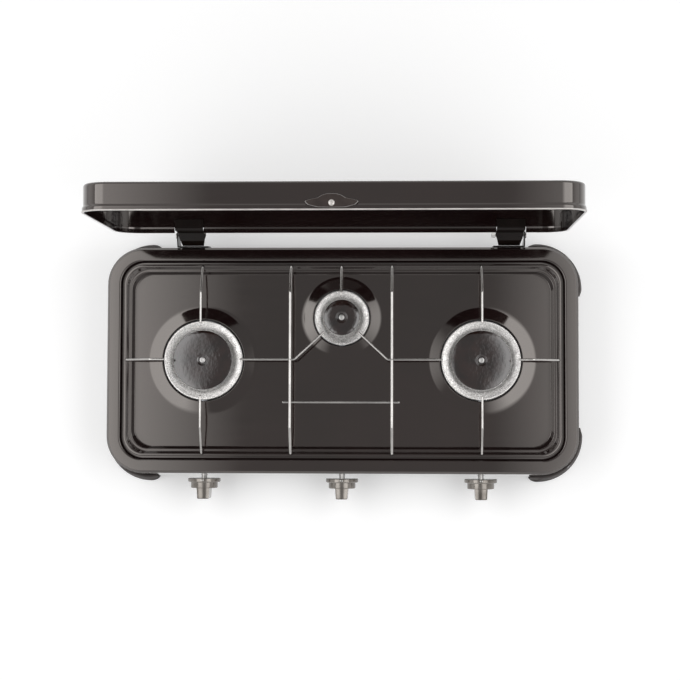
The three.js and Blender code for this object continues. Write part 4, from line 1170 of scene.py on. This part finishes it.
def add_floor():
    """A pale floor that shows white to the camera, with a painted shade under the stove where its glow is
    cut off.
    """
    half = FLOOR_HALF
    corners = [(-half, -half), (half, -half), (half, half), (-half, half)]
    points = [Vector((x, y, 0)) for x, y in corners]
    mesh = bpy.data.meshes.new("floor")
    mesh.from_pydata(points, [], [(0, 1, 2, 3)])
    floor = bpy.data.objects.new("floor", mesh)
    bpy.context.collection.objects.link(floor)
    material = bpy.data.materials.new("floor")
    material.use_nodes = True
    nodes, links = material.node_tree.nodes, material.node_tree.links
    shader = nodes["Principled BSDF"]
    shader.inputs["Base Color"].default_value = FLOOR_COLOUR
    shader.inputs["Roughness"].default_value = 0.9
    shader.inputs["Specular IOR Level"].default_value = 0.0
    path = nodes.new("ShaderNodeLightPath").outputs
    gloss = math_node(nodes, links, "MAXIMUM", path["Is Glossy Ray"], path["Is Transmission Ray"])
    seen = math_node(nodes, links, "MAXIMUM", path["Is Camera Ray"], gloss)
    either = math_node(nodes, links, "MULTIPLY", seen, FLOOR_GLOW)
    place = nodes.new("ShaderNodeSeparateXYZ")
    links.new(nodes.new("ShaderNodeNewGeometry").outputs["Position"], place.inputs[0])
    # Painted shade: the glow is cut off inside a rectangle under the stove, standing in for its shadow
    beyond = []
    for axis, reach in (("X", SHADE_PATCH_HALF_WIDTH), ("Y", SHADE_PATCH_HALF_DEPTH)):
        away = math_node(nodes, links, "ABSOLUTE", place.outputs[axis])
        beyond.append(math_node(nodes, links, "GREATER_THAN", away, reach))
    outside_painted_shade = math_node(nodes, links, "MAXIMUM", *beyond)
    glow = math_node(nodes, links, "MULTIPLY", either, outside_painted_shade)
    shader.inputs["Emission Color"].default_value = (1, 1, 1, 1)
    links.new(glow, shader.inputs["Emission Strength"])
    mesh.materials.append(material)


def add_world():
    """A white studio with a dimmer ceiling, and the ceiling's level as a soft fill."""
    world = bpy.data.worlds.new("studio")
    bpy.context.scene.world = world
    world.use_nodes = True
    nodes, links = world.node_tree.nodes, world.node_tree.links
    back = nodes["Background"]
    back.inputs["Color"].default_value = (1, 1, 1, 1)
    back.inputs["Strength"].default_value = FILL_STRENGTH
    show = nodes.new("ShaderNodeBackground")
    show.inputs["Color"].default_value = (1, 1, 1, 1)
    way = nodes.new("ShaderNodeSeparateXYZ")
    links.new(nodes.new("ShaderNodeTexCoord").outputs["Generated"], way.inputs[0])
    level = nodes.new("ShaderNodeMapRange")
    for name, value in [
        ("From Min", CEILING_START), ("From Max", CEILING_END), ("To Min", 1.0), ("To Max", CEILING),
    ]:
        level.inputs[name].default_value = value
    links.new(way.outputs["Z"], level.inputs["Value"])
    path = nodes.new("ShaderNodeLightPath").outputs
    shown = math_node(nodes, links, "MAXIMUM", level.outputs["Result"], path["Is Camera Ray"])
    links.new(shown, show.inputs["Strength"])
    gloss = math_node(nodes, links, "MAXIMUM", path["Is Glossy Ray"], path["Is Transmission Ray"])
    seen = math_node(nodes, links, "MAXIMUM", path["Is Camera Ray"], gloss)
    mix = nodes.new("ShaderNodeMixShader")
    links.new(seen, mix.inputs["Fac"])
    links.new(back.outputs[0], mix.inputs[1])
    links.new(show.outputs[0], mix.inputs[2])
    links.new(mix.outputs[0], nodes["World Output"].inputs["Surface"])


def add_panel(name, side):
    """A soft-edged lamp overhead, on the left (-1) or the right (1) of the stove."""
    width = PANEL_OUTER - PANEL_INNER
    data = bpy.data.lights.new(name, "AREA")
    data.shape = "RECTANGLE"
    data.size = width
    data.size_y = PANEL_DEPTH
    data.energy = PANEL_RADIANCE * math.pi * width * PANEL_DEPTH
    data.use_nodes = True
    nodes, links = data.node_tree.nodes, data.node_tree.links
    place = nodes.new("ShaderNodeSeparateXYZ")
    links.new(nodes.new("ShaderNodeNewGeometry").outputs["Position"], place.inputs[0])
    away = math_node(nodes, links, "ABSOLUTE", place.outputs["X"])
    feather = nodes.new("ShaderNodeMapRange")
    feather.inputs["From Min"].default_value = PANEL_INNER
    feather.inputs["From Max"].default_value = PANEL_INNER + PANEL_FEATHER
    links.new(away, feather.inputs["Value"])
    links.new(feather.outputs["Result"], nodes["Emission"].inputs["Strength"])
    lamp = bpy.data.objects.new(name, data)
    bpy.context.collection.objects.link(lamp)
    lamp.location = (side * (PANEL_INNER + PANEL_OUTER) / 2, 0, PANEL_Z)
    lamp.visible_camera = False


add_floor()
add_world()
add_panel("left panel", -1)
add_panel("right panel", 1)

# The photograph's viewpoint
camera_data = bpy.data.cameras.new("camera")
camera_data.lens = CAMERA_LENS
camera_data.sensor_width = CAMERA_SENSOR
camera_data.clip_end = CAMERA_FAR
camera = bpy.data.objects.new("camera", camera_data)
bpy.context.collection.objects.link(camera)
turn = Matrix.Identity(4)
for axis, degrees in CAMERA_TURNS.items():
    turn = turn @ Matrix.Rotation(math.radians(degrees), 4, axis)
camera.matrix_world = Matrix.Translation(STOVE @ Vector(CAMERA_PLACE)) @ turn
bpy.context.scene.camera = camera
bpy.context.scene.view_settings.view_transform = "Standard"
